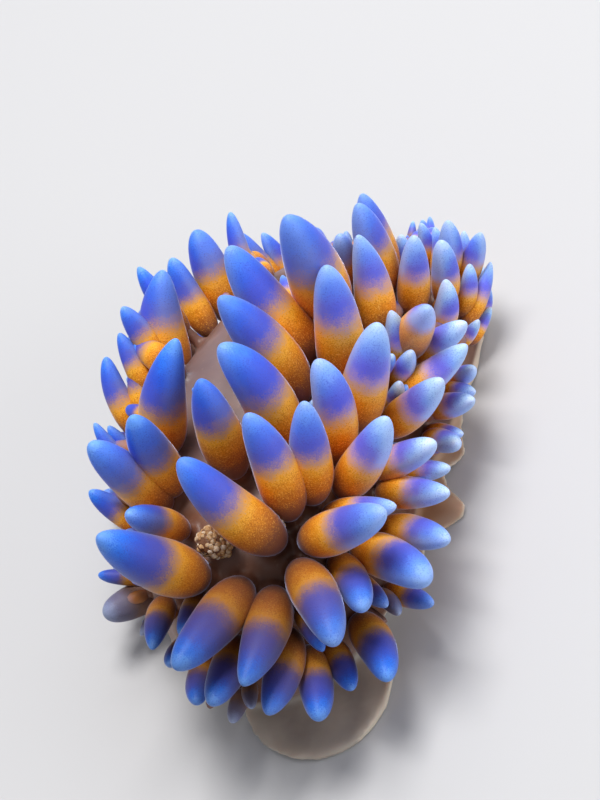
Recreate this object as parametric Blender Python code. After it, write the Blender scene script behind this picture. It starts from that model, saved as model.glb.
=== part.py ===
"""Gas flame nudibranch (Bonisa nakaza), a life-size still model of an adult creeping on its foot.

The head faces -Y, the left side faces +X and the sole lies on Z = 0. The body is one tapered dome
that bends to its left, parted by thin cuts, with the finger-like cerata set on it one by one.
"""

import math
import random
from typing import NamedTuple

import bmesh
import bpy
from mathutils import Matrix, Vector
from mathutils.bvhtree import BVHTree

MM = 0.001
GAP = 0.36 * MM
CLEARANCE = 0.3 * MM
UP = Vector((0.0, 0.0, 1.0))

# Body: a dome over a flat base, swept along an arc whose centre lies on the left side
BODY_LENGTH = 60.0 * MM
BODY_BEND = math.radians(87.0)
BODY_RADIUS = BODY_LENGTH / BODY_BEND
BODY_MIDDLE = 0.458
BODY_HALF_WIDTH = 14.5 * MM
BODY_HEIGHT = 19.0 * MM
BODY_BASE = 1.3 * MM
HEAD_TAPER = 0.285
TAIL_TAPER = 0.45
SQUARENESS = 0.85
HEAD_POWER = 2.4
TAIL_POWER = 2.2
TAIL_FALL = 0.75
STATIONS = 26
SECTION_STEPS = 18
END_BUNCHING = 1.6
SEARCH_STEPS = 24
NORMAL_STEP = 0.004

# The move that brings the middle of the finished animal over the origin
BODY_PLACE = Vector((-1.575, 0.705, 0.0)) * MM

# The bare swelling on the back
HUMP_ALONG = 0.45
HUMP_ANGLE = math.radians(-20.0)
HUMP_RISE = 2.0 * MM
HUMP_SPREAD = 7.0 * MM

# Where the body is parted: fractions of its length, and the half angle of the back's wedge
HEAD_END = 0.10
BROW_END = 0.25
FRONT_END = 0.47
MIDDLE_END = 0.69
REAR_END = 0.89
BACK_ANGLE = math.radians(20.0)
SIDE_ANGLE = math.radians(90.0)

# Foot: a thin sole with a ruffled edge and a round lobe before the head
FOOT_THICKNESS = 1.0 * MM
FOOT_EDGE_THICKNESS = 0.55 * MM
FOOT_FLANGE = 0.9 * MM
FOOT_REAR_FLANGE = 0.25 * MM
FOOT_REAR = (0.64, 0.78)
FOOT_SCALLOPS = ((0.41, 0.09, 4.7 * MM), (0.63, 0.07, 1.7 * MM))
FOOT_TAIL_REACH = 0.04
FOOT_TAIL = 0.6
FOOT_NECK = 0.2
FOOT_LOBE_REACH = 8.4 * MM
FOOT_LOBE_HALF_WIDTH = 8.6 * MM
FOOT_LOBE_SPAN = FOOT_LOBE_REACH / BODY_LENGTH
FOOT_LOBE_SHIFT = 1.0 * MM
FOOT_LOBE_FADE = 1.6
FOOT_RUFFLE_RISE = 0.8 * MM
FOOT_RUFFLES = 8
FOOT_STEPS = 44
FOOT_FLAT = 0.8
FOOT_EDGE = 0.6 * MM
FOOT_COLUMNS = (-2.0, -1.0, -0.5, 0.0, 0.5, 1.0, 2.0)
FOOT_CLEARANCE = 0.2 * MM

# Mouth and the short oral tentacles
MOUTH_HEIGHT = 4.2 * MM
MOUTH_SINK = 1.2 * MM
LIPS_SIZE = (4.2 * MM, 2.6 * MM, 2.3 * MM)
SLIT_SIZE = (2.8 * MM, 1.6 * MM, 0.45 * MM)
SLIT_FORWARD = 2.4 * MM
TENTACLE_ALONG = 0.055
TENTACLE_ANGLE = math.radians(70.0)
TENTACLE_LENGTH = 4.0 * MM
TENTACLE_RADIUS = 1.1 * MM
TENTACLE_SINK = 1.5 * MM
TENTACLE_SPREAD = 0.9
TENTACLE_DROOP = 0.12
TENTACLE_SIDES = 10
TENTACLE_OUTLINE = ((1.0, 0.25), (0.86, 0.5), (0.6, 0.85), (0.0, 1.0))

# Rhinophores: short contracted clubs at the front of the back
RHINOPHORE_ALONG = 0.155
RHINOPHORE_ANGLE = math.radians(6.5)
RHINOPHORE_SHIFT = math.radians(5.0)
RHINOPHORE_HEIGHT = 4.4 * MM
RHINOPHORE_RADIUS = 1.75 * MM
RHINOPHORE_LEAVES = 5
RHINOPHORE_SINK = 1.0 * MM
RHINOPHORE_SPREAD = 0.35
RHINOPHORE_SIDES = 14
RHINOPHORE_STEM = 0.55
LEAVES_START = 0.24
LEAVES_SPAN = 0.7
LEAVES_SWELL = 1.7
LEAVES_WIDEST = 0.42
LEAF_GROOVE = 0.82
LEAF_RISE = 0.07

# Cerata: their form, how far they stand off the skin and how deep their stalks sink
CERAS_WIDEST = 0.34
CERAS_ASPECT = 3.05
CERAS_LIFT = 0.62
CERAS_BEND = 0.06
CERAS_SIDES = 6
CERAS_RINGS = 7
ROUNDING = 1.05
SMALL_CERAS = 1.6 * MM
STALK_RADIUS = 0.42
STALK_REACH = 0.2
STALK_SIDES = 4
ROOT_DEPTH = 1.6 * MM
LOWEST_TIP = 3.4 * MM
TIP_CLEARANCE = 0.3
BEHIND_LEAN = 0.3
CERAS_BASE_POWER = 2.4
CERAS_TAPER = 0.42
CERAS_TAPER_POWER = 1.3
CERAS_TIP_POWER = 4.5
STALK_FLARE = 1.2

# The search for skin that faces away, as steps along and round the body
FAR_STEPS = 60
FAR_START = 0.03
FAR_SPAN = 0.94
FAR_TURNS = 56
FAR_HALF_TURN = math.radians(84.0)
FAR_FACING = 0.1

# Rows out of view
HIDDEN_SEED = 11
OUTLINE_CENTRE_PIXEL = Vector((290.0, 460.0))
OUTLINE_MARGIN_PIXELS = 6.0
OUTLINE_SLOPE = 0.75
LEAST_SIZE = 0.05
LEAST_FORM_RADIUS = 0.85 * MM
SHORTENING = 0.93
DROOP_STEP = 0.12
LOWEST_LEAN = -0.4
LEAST_STAND = 0.2
CROWN_HEIGHT = 1.5 * MM
PEEK_SHARES = (0.3, 0.7)
PEEK_WIDTH = 0.8
CROWDING = 0.85
ROW_SCATTER = math.radians(4.0)
ROW_RISE = 0.35
ROW_SWEEP = 0.9
ROW_SPREAD = 0.3
END_LENGTH = 0.55
END_GROWTH = 1.6
LENGTH_RANGE = (0.88, 1.12)
PLACE_RANGE = (0.3, 0.7)

# How near two pieces come before one is cut clear of the other
NEIGHBOUR_REACH = 14.0 * MM
NEAR_LENGTHS = 1.1
AXIS_STEPS = 7

# The line of sight that the seen cerata are read along, in pixels of a 600 by 800 frame
SIGHT_AZIMUTH = math.radians(45.0)
SIGHT_ELEVATION = math.radians(50.0)
SIGHT_ROLL = math.radians(-34.0)
SIGHT_DISTANCE = 330.0 * MM
PIXELS_PER_METRE = 8850.0
SIGHT_CENTRE_PIXEL = (310.0, 492.0)


class Seen(NamedTuple):
    """A ceras in view: the pixels of its base end and tip, its width, and whether it is behind."""

    base_x: float
    base_y: float
    tip_x: float
    tip_y: float
    width: float
    behind: bool = False


SEEN_RIGHT = (
    Seen(176, 385, 162, 270, 49, True),
    Seen(166, 452, 176, 339, 47),
    Seen(155, 440, 136, 343, 29, True),
    Seen(150, 445, 105, 357, 27, True),
    Seen(155, 400, 119, 333, 24, True),
    Seen(165, 365, 122, 307, 27, True),
    Seen(188, 335, 138, 267, 24, True),
    Seen(214, 338, 171, 258, 30, True),
    Seen(236, 322, 195, 230, 42, True),
    Seen(255, 295, 230, 212, 22, True),
    Seen(290, 298, 237, 233, 30, True),
    Seen(306, 288, 262, 233, 24, True),
    Seen(152, 470, 108, 426, 20, True),
    Seen(150, 485, 94, 423, 18, True),
    Seen(168, 508, 90, 444, 42),
    Seen(176, 492, 132, 417, 42),
    Seen(150, 530, 89, 491, 26, True),
    Seen(187, 532, 127, 514, 32),
    Seen(205, 580, 98, 537, 52),
    Seen(154, 578, 98, 575, 17, True),
    Seen(158, 590, 104, 615, 34, True),
    Seen(166, 600, 141, 636, 15, True),
)

SEEN_CROWN = (
    Seen(316, 362, 228, 247, 50),
    Seen(302, 402, 220, 297, 52),
    Seen(293, 452, 221, 345, 50),
    Seen(237, 475, 200, 380, 44),
    Seen(333, 325, 287, 217, 57),
    Seen(388, 285, 362, 194, 38),
    Seen(385, 295, 358, 204, 40),
    Seen(378, 345, 358, 235, 40),
    Seen(345, 388, 326, 266, 48),
    Seen(355, 428, 378, 324, 46),
    Seen(336, 464, 318, 360, 42),
    Seen(340, 495, 387, 418, 40),
    Seen(313, 502, 304, 402, 42),
    Seen(292, 518, 247, 414, 44),
    Seen(282, 547, 179, 460, 48),
    Seen(303, 543, 384, 512, 42),
    Seen(322, 516, 396, 506, 28),
    Seen(356, 300, 346, 231, 22, True),
    Seen(346, 286, 340, 235, 25),
)

SEEN_LEFT_REAR = (
    Seen(394, 368, 391, 311, 26),
    Seen(390, 388, 412, 351, 22),
    Seen(386, 412, 400, 382, 18),
    Seen(412, 315, 414, 236, 33),
    Seen(400, 285, 401, 235, 20),
    Seen(445, 305, 441, 241, 29),
    Seen(427, 270, 421, 223, 18),
    Seen(444, 284, 448, 221, 28),
    Seen(458, 292, 481, 233, 26),
    Seen(461, 318, 470, 264, 20),
    Seen(463, 330, 491, 262, 18),
    Seen(438, 335, 446, 280, 26),
    Seen(402, 352, 428, 308, 38),
    Seen(412, 358, 466, 323, 28),
    Seen(455, 348, 479, 320, 15),
    Seen(395, 402, 467, 345, 33),
    Seen(440, 392, 475, 392, 20),
    Seen(428, 410, 474, 400, 26),
    Seen(382, 432, 442, 380, 36),
    Seen(426, 430, 463, 434, 18),
    Seen(438, 280, 435, 227, 18),
    Seen(462, 290, 464, 231, 20),
    Seen(474, 318, 483, 267, 16),
    Seen(474, 330, 490, 288, 14),
    Seen(470, 345, 491, 307, 13),
    Seen(448, 380, 474, 369, 20),
)

SEEN_LEFT_FRONT = (
    Seen(425, 438, 458, 445, 24),
    Seen(372, 472, 435, 443, 32),
    Seen(395, 474, 450, 468, 22),
    Seen(378, 492, 449, 493, 32),
    Seen(380, 528, 449, 540, 34),
    Seen(355, 545, 428, 580, 42),
    Seen(385, 588, 433, 604, 24),
    Seen(297, 565, 335, 644, 44),
    Seen(335, 558, 363, 609, 34),
    Seen(352, 578, 387, 606, 22),
    Seen(376, 592, 399, 614, 18),
    Seen(358, 618, 388, 679, 38),
    Seen(328, 640, 352, 689, 28),
    Seen(298, 600, 323, 651, 22),
)

SEEN_BROW = (
    Seen(308, 648, 319, 719, 34),
    Seen(290, 630, 268, 714, 38),
    Seen(277, 590, 243, 685, 44),
    Seen(247, 583, 175, 668, 46),
    Seen(190, 640, 169, 665, 20),
    Seen(242, 640, 211, 704, 36),
    Seen(212, 655, 196, 703, 28),
    Seen(168, 598, 152, 649, 27),
    Seen(200, 592, 180, 635, 20),
    Seen(245, 690, 232, 722, 18),
    Seen(250, 680, 252, 708, 16),
    Seen(240, 670, 216, 706, 16, True),
)

SEEN_TABLES = (SEEN_RIGHT, SEEN_CROWN, SEEN_LEFT_REAR, SEEN_LEFT_FRONT, SEEN_BROW)


class Row(NamedTuple):
    """A row of cerata out of view: its angle from the top, ends along the body, pitch and length."""

    angle: float
    start: float
    end: float
    pitch: float
    length: float


HIDDEN_ROWS = (
    Row(math.radians(2.0), 0.45, 0.97, 4.4 * MM, 12.0 * MM),
    Row(math.radians(-8.0), 0.36, 0.97, 4.4 * MM, 13.0 * MM),
    Row(math.radians(-18.0), 0.36, 0.97, 4.4 * MM, 14.0 * MM),
    Row(math.radians(-29.0), 0.30, 0.97, 4.4 * MM, 14.0 * MM),
    Row(math.radians(-40.0), 0.25, 0.97, 4.4 * MM, 13.0 * MM),
    Row(math.radians(-51.0), 0.15, 0.98, 4.4 * MM, 12.0 * MM),
    Row(math.radians(-62.0), 0.10, 0.98, 4.2 * MM, 10.5 * MM),
    Row(math.radians(-73.0), 0.06, 0.98, 4.0 * MM, 8.5 * MM),
    Row(math.radians(-84.0), 0.05, 0.98, 3.8 * MM, 6.5 * MM),
    Row(math.radians(4.0), 0.86, 0.97, 4.6 * MM, 10.0 * MM),
    Row(math.radians(38.0), 0.88, 0.98, 4.2 * MM, 8.5 * MM),
    Row(math.radians(66.0), 0.90, 0.98, 4.2 * MM, 6.5 * MM),
    Row(math.radians(80.0), 0.06, 0.30, 4.4 * MM, 5.5 * MM),
)


class Ceras(NamedTuple):
    """One ceras in place: where its base end and tip are, the skin under it and its greatest radius."""

    root: Vector
    normal: Vector
    base: Vector
    tip: Vector
    radius: float


class Cell(NamedTuple):
    """A length of the body: its ends along the body and the angles from the top that bound it."""

    name: str
    start: float
    end: float
    low: float
    high: float


CELLS = (
    Cell("head", 0.0, HEAD_END, -SIDE_ANGLE, SIDE_ANGLE),
    Cell("brow", HEAD_END, BROW_END, -SIDE_ANGLE, SIDE_ANGLE),
    Cell("back", BROW_END, REAR_END, -BACK_ANGLE, BACK_ANGLE),
    Cell("flank_left_front", BROW_END, FRONT_END, BACK_ANGLE, SIDE_ANGLE),
    Cell("flank_left_middle", FRONT_END, MIDDLE_END, BACK_ANGLE, SIDE_ANGLE),
    Cell("flank_left_rear", MIDDLE_END, REAR_END, BACK_ANGLE, SIDE_ANGLE),
    Cell("flank_right_front", BROW_END, FRONT_END, -SIDE_ANGLE, -BACK_ANGLE),
    Cell("flank_right_middle", FRONT_END, MIDDLE_END, -SIDE_ANGLE, -BACK_ANGLE),
    Cell("flank_right_rear", MIDDLE_END, REAR_END, -SIDE_ANGLE, -BACK_ANGLE),
    Cell("tail", REAR_END, 1.0, -SIDE_ANGLE, SIDE_ANGLE),
)

FEELER_CELLS = ("head", "brow", "back")

# Colour and roughness by the start of a node's name
NODE_LOOKS = (
    ("foot", ((0.21, 0.16, 0.13), 0.35)),
    ("rhinophore", ((0.50, 0.33, 0.16), 0.5)),
    ("oral_tentacle", ((0.30, 0.19, 0.15), 0.4)),
    ("tail", ((0.24, 0.20, 0.46), 0.35)),
    ("back", ((0.30, 0.20, 0.24), 0.35)),
    ("flank", ((0.38, 0.24, 0.34), 0.35)),
    ("head", ((0.36, 0.20, 0.22), 0.35)),
    ("brow", ((0.38, 0.22, 0.26), 0.35)),
)


def clear_scene():
    """Remove every object of the start-up scene."""
    for item in list(bpy.data.objects):
        bpy.data.objects.remove(item, do_unlink=True)


def make_material(name, colour, roughness):
    """Return a Principled material of one colour."""
    material = bpy.data.materials.new(name)
    material.use_nodes = True
    shader = material.node_tree.nodes["Principled BSDF"]
    shader.inputs["Base Color"].default_value = (*colour, 1.0)
    shader.inputs["Roughness"].default_value = roughness
    shader.inputs["Metallic"].default_value = 0.0
    return material


def make_object(name, shape):
    """Turn a bmesh into an object of the scene and free the bmesh."""
    mesh = bpy.data.meshes.new(name)
    shape.normal_update()
    bmesh.ops.recalc_face_normals(shape, faces=shape.faces)
    if shape.calc_volume(signed=True) < 0.0:
        bmesh.ops.reverse_faces(shape, faces=shape.faces)
    shape.to_mesh(mesh)
    shape.free()
    item = bpy.data.objects.new(name, mesh)
    bpy.context.scene.collection.objects.link(item)
    return item


def combine(target, operands, operation):
    """Join the operands to the target, or cut it by them, then remove them.

    The operands overlap one another by the dozen, which only the manifold solver takes in one pass.
    """
    if not operands:
        return
    group = bpy.data.collections.new("operands")
    bpy.context.scene.collection.children.link(group)
    for operand in operands:
        bpy.context.scene.collection.objects.unlink(operand)
        group.objects.link(operand)
    modifier = target.modifiers.new("combine", "BOOLEAN")
    modifier.operation = operation
    modifier.operand_type = "COLLECTION"
    modifier.collection = group
    modifier.solver = "MANIFOLD"
    graph = bpy.context.evaluated_depsgraph_get()
    mesh = bpy.data.meshes.new_from_object(target.evaluated_get(graph), depsgraph=graph)
    target.modifiers.clear()
    target.data = mesh
    for operand in operands:
        bpy.data.objects.remove(operand, do_unlink=True)
    bpy.data.collections.remove(group)


def shell_volume(shell):
    """Return the size of the volume that a closed set of faces holds, on a scale of its own."""
    total = 0.0
    for face in shell:
        corners = [corner.co for corner in face.verts]
        for second, third in zip(corners[1:], corners[2:]):
            total += corners[0].cross(second).dot(third)
    return abs(total)


def keep_largest(item):
    """Keep only the closed surface of the greatest volume."""
    shape = bmesh.new()
    shape.from_mesh(item.data)
    waiting = set(shape.faces)
    shells = []
    while waiting:
        shell = {waiting.pop()}
        front = list(shell)
        while front:
            face = front.pop()
            for edge in face.edges:
                for neighbour in edge.link_faces:
                    if neighbour in waiting:
                        waiting.discard(neighbour)
                        shell.add(neighbour)
                        front.append(neighbour)
        shells.append(shell)
    shells.sort(key=shell_volume)
    loose = [face for shell in shells[:-1] for face in shell]
    bmesh.ops.delete(shape, geom=loose, context="FACES")
    shape.to_mesh(item.data)
    shape.free()


def midline(along):
    """Return the point of the floor under the middle of the body, and the way the body heads."""
    angle = (along - BODY_MIDDLE) * BODY_BEND
    point = Vector((BODY_RADIUS * (1.0 - math.cos(angle)), BODY_RADIUS * math.sin(angle), 0.0))
    return point, Vector((math.sin(angle), math.cos(angle), 0.0))


def body_size(along):
    """Return the half width and height of the dome at a fraction of its length."""
    head = min(along / HEAD_TAPER, 1.0)
    tail = min((1.0 - along) / TAIL_TAPER, 1.0)
    width = math.sqrt(1.0 - (1.0 - head) ** 2) * math.sqrt(max(0.0, 1.0 - (1.0 - tail) ** TAIL_POWER))
    height = math.sqrt(1.0 - (1.0 - head) ** HEAD_POWER) * max(0.0, 1.0 - (1.0 - tail) ** 2) ** TAIL_FALL
    return BODY_HALF_WIDTH * width, BODY_HEIGHT * height


def skin(along, turn, grow=0.0):
    """Return a point of the skin, by the section's own turn from the top, positive on the left."""
    centre, heading = midline(along)
    left = heading.cross(UP)
    width, height = body_size(along)
    across = math.copysign(abs(math.sin(turn)) ** SQUARENESS, turn)
    rise = abs(math.cos(turn)) ** SQUARENESS
    point = centre + left * (width * across) + UP * (BODY_BASE + height * rise)
    outward = left * math.sin(turn) + UP * math.cos(turn)
    swelling = HUMP_RISE * math.exp(-((point - hump_centre()).length / HUMP_SPREAD) ** 2)
    return point + outward * (swelling + grow)


def hump_centre():
    """Return the middle of the bare swelling, on the plain dome."""
    centre, heading = midline(HUMP_ALONG)
    outward = heading.cross(UP) * math.sin(HUMP_ANGLE) + UP * math.cos(HUMP_ANGLE)
    return centre + outward * BODY_HEIGHT


def turn_at(along, angle, shift, grow):
    """Return the section's turn where a line at an angle from the top, moved by shift, meets the skin."""
    centre, heading = midline(along)
    left = heading.cross(UP)
    across = left * math.cos(angle) - UP * math.sin(angle)
    axis = centre + UP * BODY_BASE
    low = -SIDE_ANGLE
    high = SIDE_ANGLE
    for _ in range(SEARCH_STEPS):
        middle = (low + high) / 2.0
        if (skin(along, middle, grow) - axis).dot(across) < shift:
            low = middle
        else:
            high = middle
    return (low + high) / 2.0


def section(along, cell, grow):
    """Return the corners of a cell's section: up one side, over the skin and down the other."""
    centre, heading = midline(along)
    left = heading.cross(UP)
    axis = centre + UP * (BODY_BASE - grow)
    inset = GAP / 2.0 - grow
    corners = []
    if cell.low <= -SIDE_ANGLE:
        first = -SIDE_ANGLE
    else:
        first = turn_at(along, cell.low, inset, grow)
    if cell.high >= SIDE_ANGLE:
        last = SIDE_ANGLE
    else:
        last = turn_at(along, cell.high, -inset, grow)
    steps = max(4, round(SECTION_STEPS * (cell.high - cell.low) / math.pi))
    for step in range(steps + 1):
        turn = first + (last - first) * step / steps
        point = skin(along, turn, grow)
        point.z = max(point.z, BODY_BASE - grow)
        corners.append(point)
    if cell.low > -SIDE_ANGLE and cell.high < SIDE_ANGLE:
        corners.append(axis + UP * (GAP + inset / math.sin(cell.high)))
    elif cell.low > -SIDE_ANGLE:
        corners.append(axis + left * inset)
    elif cell.high < SIDE_ANGLE:
        corners.append(axis - left * inset)
    return corners


def cell_object(cell, grow=0.0):
    """Return a closed length of the body, lofted through its sections, grown for use as a cutter."""
    shape = bmesh.new()
    shift = (GAP / 2.0 - grow) / BODY_LENGTH
    start = cell.start + shift if cell.start > 0.0 else 0.0
    end = cell.end - shift if cell.end < 1.0 else 1.0
    count = max(3, round(STATIONS * (end - start)))
    rings = []
    for index in range(count + 1):
        fraction = index / count
        if cell.start <= 0.0:
            fraction = fraction ** END_BUNCHING
        if cell.end >= 1.0:
            fraction = 1.0 - (1.0 - fraction) ** END_BUNCHING
        along = start + (end - start) * fraction
        if 0.0 < along < 1.0:
            corners = section(along, cell, grow)
            rings.append([shape.verts.new(corner) for corner in corners])
    for ring, following in zip(rings, rings[1:]):
        for index in range(len(ring)):
            after = (index + 1) % len(ring)
            shape.faces.new((ring[index], ring[after], following[after], following[index]))
    for at_end, ring in ((cell.start <= 0.0, rings[0]), (cell.end >= 1.0, rings[-1])):
        if not at_end:
            shape.faces.new(ring)
            continue
        along = 0.0 if ring is rings[0] else 1.0
        point, heading = midline(along)
        point = point + UP * BODY_BASE + heading * (math.copysign(grow, along - 0.5))
        pole = shape.verts.new(point)
        for index in range(len(ring)):
            shape.faces.new((ring[index], ring[(index + 1) % len(ring)], pole))
    bmesh.ops.triangulate(shape, faces=shape.faces)
    return make_object(cell.name, shape)


def sight_axes():
    """Return the right, up and backward axes of the line of sight."""
    back = Vector((math.sin(SIGHT_AZIMUTH) * math.cos(SIGHT_ELEVATION),
                   -math.cos(SIGHT_AZIMUTH) * math.cos(SIGHT_ELEVATION),
                   math.sin(SIGHT_ELEVATION)))
    level = Vector((math.cos(SIGHT_AZIMUTH), math.sin(SIGHT_AZIMUTH), 0.0))
    right = Matrix.Rotation(SIGHT_ROLL, 3, back) @ level
    return right, back.cross(right), back


def sight_ray(pixel_x, pixel_y):
    """Return the start and direction of the line of sight through a pixel."""
    right, up, back = sight_axes()
    scale = PIXELS_PER_METRE * SIGHT_DISTANCE
    across = (pixel_x - SIGHT_CENTRE_PIXEL[0]) / scale
    down = (pixel_y - SIGHT_CENTRE_PIXEL[1]) / scale
    return back * SIGHT_DISTANCE, (right * across - up * down - back).normalized()


def body_tree():
    """Return a search tree over the whole skin."""
    whole = cell_object(Cell("whole", 0.0, 1.0, -SIDE_ANGLE, SIDE_ANGLE))
    shape = bmesh.new()
    shape.from_mesh(whole.data)
    tree = BVHTree.FromBMesh(shape)
    shape.free()
    bpy.data.objects.remove(whole, do_unlink=True)
    return tree


def pixel_of(point):
    """Return the pixel where a point shows along the line of sight."""
    right, up, back = sight_axes()
    offset = point - back * SIGHT_DISTANCE
    scale = PIXELS_PER_METRE * SIGHT_DISTANCE / -offset.dot(back)
    return Vector((SIGHT_CENTRE_PIXEL[0] + scale * offset.dot(right),
                   SIGHT_CENTRE_PIXEL[1] - scale * offset.dot(up)))


def far_skin(pixel):
    """Return the point and normal of the skin that faces away and shows nearest a pixel."""
    _, _, back = sight_axes()
    best = None
    for index in range(FAR_STEPS):
        along = FAR_START + FAR_SPAN * index / FAR_STEPS
        for step in range(FAR_TURNS + 1):
            turn = FAR_HALF_TURN * (2.0 * step / FAR_TURNS - 1.0)
            point = skin(along, turn)
            normal = skin_normal(along, turn)
            if normal.dot(back) > FAR_FACING:
                continue
            distance = (pixel_of(point) - pixel).length
            if best is None or distance < best[0]:
                best = (distance, point, normal)
    return best[1], best[2]


def skin_normal(along, turn):
    """Return the outward normal of the skin."""
    lengthways = skin(min(along + NORMAL_STEP, 0.999), turn) - skin(max(along - NORMAL_STEP, 0.001), turn)
    high = min(turn + NORMAL_STEP, SIDE_ANGLE)
    low = max(turn - NORMAL_STEP, -SIDE_ANGLE)
    across = skin(along, high) - skin(along, low)
    return across.cross(lengthways).normalized()


def seen_ceras(tree, seen):
    """Set one seen ceras on the skin along the line of sight through its base and its tip."""
    radius = seen.width / PIXELS_PER_METRE / 2.0
    start, direction = sight_ray(seen.base_x, seen.base_y)
    point, normal, _, _ = tree.ray_cast(start, direction)
    if seen.behind or point is None:
        point, normal = far_skin(Vector((seen.base_x, seen.base_y)))
    base = start + direction * (point + normal * (CERAS_LIFT * radius) - start).dot(direction)
    tip_start, tip_direction = sight_ray(seen.tip_x, seen.tip_y)
    flat_tip = tip_start + tip_direction * (base - tip_start).dot(tip_direction)
    shown = (flat_tip - base).length
    length = max(CERAS_ASPECT * 2.0 * radius, shown)
    toward = math.sqrt(max(0.0, length ** 2 - shown ** 2))
    if seen.behind:
        toward *= BEHIND_LEAN
    tip = flat_tip - tip_direction * toward
    return Ceras(point, normal, base, tip, radius)


def outline_reaches():
    """Return how far each tip in view reaches from the middle of the outline."""
    tips = [Vector((seen.tip_x, seen.tip_y)) for table in SEEN_TABLES for seen in table]
    return [tip - OUTLINE_CENTRE_PIXEL for tip in tips]


def outside_outline(point, reaches):
    """Tell whether a point would show outside the outline of the tips in view."""
    offset = pixel_of(point) - OUTLINE_CENTRE_PIXEL
    way = offset.normalized()
    limits = [reach.length * (1.0 - OUTLINE_SLOPE * (way - reach.normalized()).length) for reach in reaches]
    return offset.length > max(limits) - OUTLINE_MARGIN_PIXELS


def covered(point, screen):
    """Tell whether the skin or a ceras in view hides a point."""
    _, _, back = sight_axes()
    toward_eye = (back * SIGHT_DISTANCE - point).normalized()
    return screen.ray_cast(point, toward_eye)[0] is not None


def shows(point, reaches, screen):
    """Tell whether a point shows, or lies outside the outline of the tips in view."""
    return outside_outline(point, reaches) or not covered(point, screen)


def peeks(base, tip, radius, reaches, screen):
    """Tell whether any part of a ceras shows that should be out of view."""
    _, _, back = sight_axes()
    aside = (tip - base).cross(back).normalized() * (radius * PEEK_WIDTH)
    middles = [base.lerp(tip, share) for share in PEEK_SHARES]
    tested = [tip] + [middle + aside for middle in middles] + [middle - aside for middle in middles]
    return any(shows(point, reaches, screen) for point in tested)


def screen_tree(seen):
    """Return a search tree over the skin and every ceras in view."""
    shape = bmesh.new()
    pieces = [cell_object(Cell("whole", 0.0, 1.0, -SIDE_ANGLE, SIDE_ANGLE))]
    pieces += [ceras_object(ceras) for ceras in seen]
    for piece in pieces:
        shape.from_mesh(piece.data)
        bpy.data.objects.remove(piece, do_unlink=True)
    tree = BVHTree.FromBMesh(shape)
    shape.free()
    return tree


def row_ceras(row, index, count, chance, reaches, screen):
    """Grow one ceras of a row out of view, varied a little in place, lean and size."""
    along = row.start + (row.end - row.start) * (index + chance.uniform(*PLACE_RANGE)) / count
    turn = row.angle + chance.uniform(-ROW_SCATTER, ROW_SCATTER)
    point = skin(along, turn)
    normal = skin_normal(along, turn)
    ends = min(1.0, END_LENGTH + END_GROWTH * min(along, 1.0 - along))
    length = row.length * ends * chance.uniform(*LENGTH_RANGE)
    radius = length / CERAS_ASPECT / 2.0
    _, heading = midline(along)
    sweep = chance.uniform(-ROW_SPREAD, ROW_SPREAD) + ROW_SWEEP * (along - 0.5)
    lean = (normal + UP * ROW_RISE + heading * sweep).normalized()
    _, _, back = sight_axes()
    lift = normal * CERAS_LIFT
    least = row.length * LEAST_SIZE
    while radius > least:
        base = point + lift * radius
        if not peeks(base, base + lean * length, radius, reaches, screen):
            break
        droop = (lean - back * DROOP_STEP).normalized()
        if droop.z > LOWEST_LEAN and droop.dot(normal) > LEAST_STAND:
            lean = droop
        else:
            length *= SHORTENING
            radius *= SHORTENING
    base = point + lift * radius
    return Ceras(point, normal, base, base + lean * length, radius)


def hidden_cerata(seen, screen):
    """Fill the skin that the line of sight doesn't reach with rows of cerata."""
    chance = random.Random(HIDDEN_SEED)
    reaches = outline_reaches()
    placed = list(seen)
    added = []
    for row in HIDDEN_ROWS:
        count = round((row.end - row.start) * BODY_LENGTH / row.pitch)
        for index in range(count):
            ceras = row_ceras(row, index, count, chance, reaches, screen)
            hidden = covered(ceras.root + ceras.normal * CROWN_HEIGHT, screen)
            crowded = any((other.root - ceras.root).length < CROWDING * (other.radius + ceras.radius)
                          for other in placed)
            if hidden and not crowded and not peeks(ceras.base, ceras.tip, ceras.radius, reaches,
                                                    screen):
                added.append(ceras)
                placed.append(ceras)
    return added


def clear_floor(ceras):
    """Raise the tip of a ceras that would reach too low."""
    lowest = LOWEST_TIP + ceras.radius * TIP_CLEARANCE
    if ceras.tip.z >= lowest:
        return ceras
    return ceras._replace(tip=Vector((ceras.tip.x, ceras.tip.y, lowest)))


def ceras_radius(fraction):
    """Return the radius of a ceras, as a share of the greatest, at a fraction of its length."""
    if fraction < CERAS_WIDEST:
        away = (CERAS_WIDEST - fraction) / CERAS_WIDEST
        return math.sqrt(max(0.0, 1.0 - away ** CERAS_BASE_POWER))
    away = (fraction - CERAS_WIDEST) / (1.0 - CERAS_WIDEST)
    narrowing = 1.0 - CERAS_TAPER * away ** CERAS_TAPER_POWER
    return narrowing * math.sqrt(max(0.0, 1.0 - away ** CERAS_TIP_POWER))


def ceras_length(ceras):
    """Return the length of a ceras."""
    return (ceras.tip - ceras.base).length


def ceras_axis(ceras, fraction):
    """Return a point of the gently bent axis of a ceras."""
    straight = ceras.base.lerp(ceras.tip, fraction)
    return straight + ceras.normal * (CERAS_BEND * ceras_length(ceras) * math.sin(math.pi * fraction))


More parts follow.
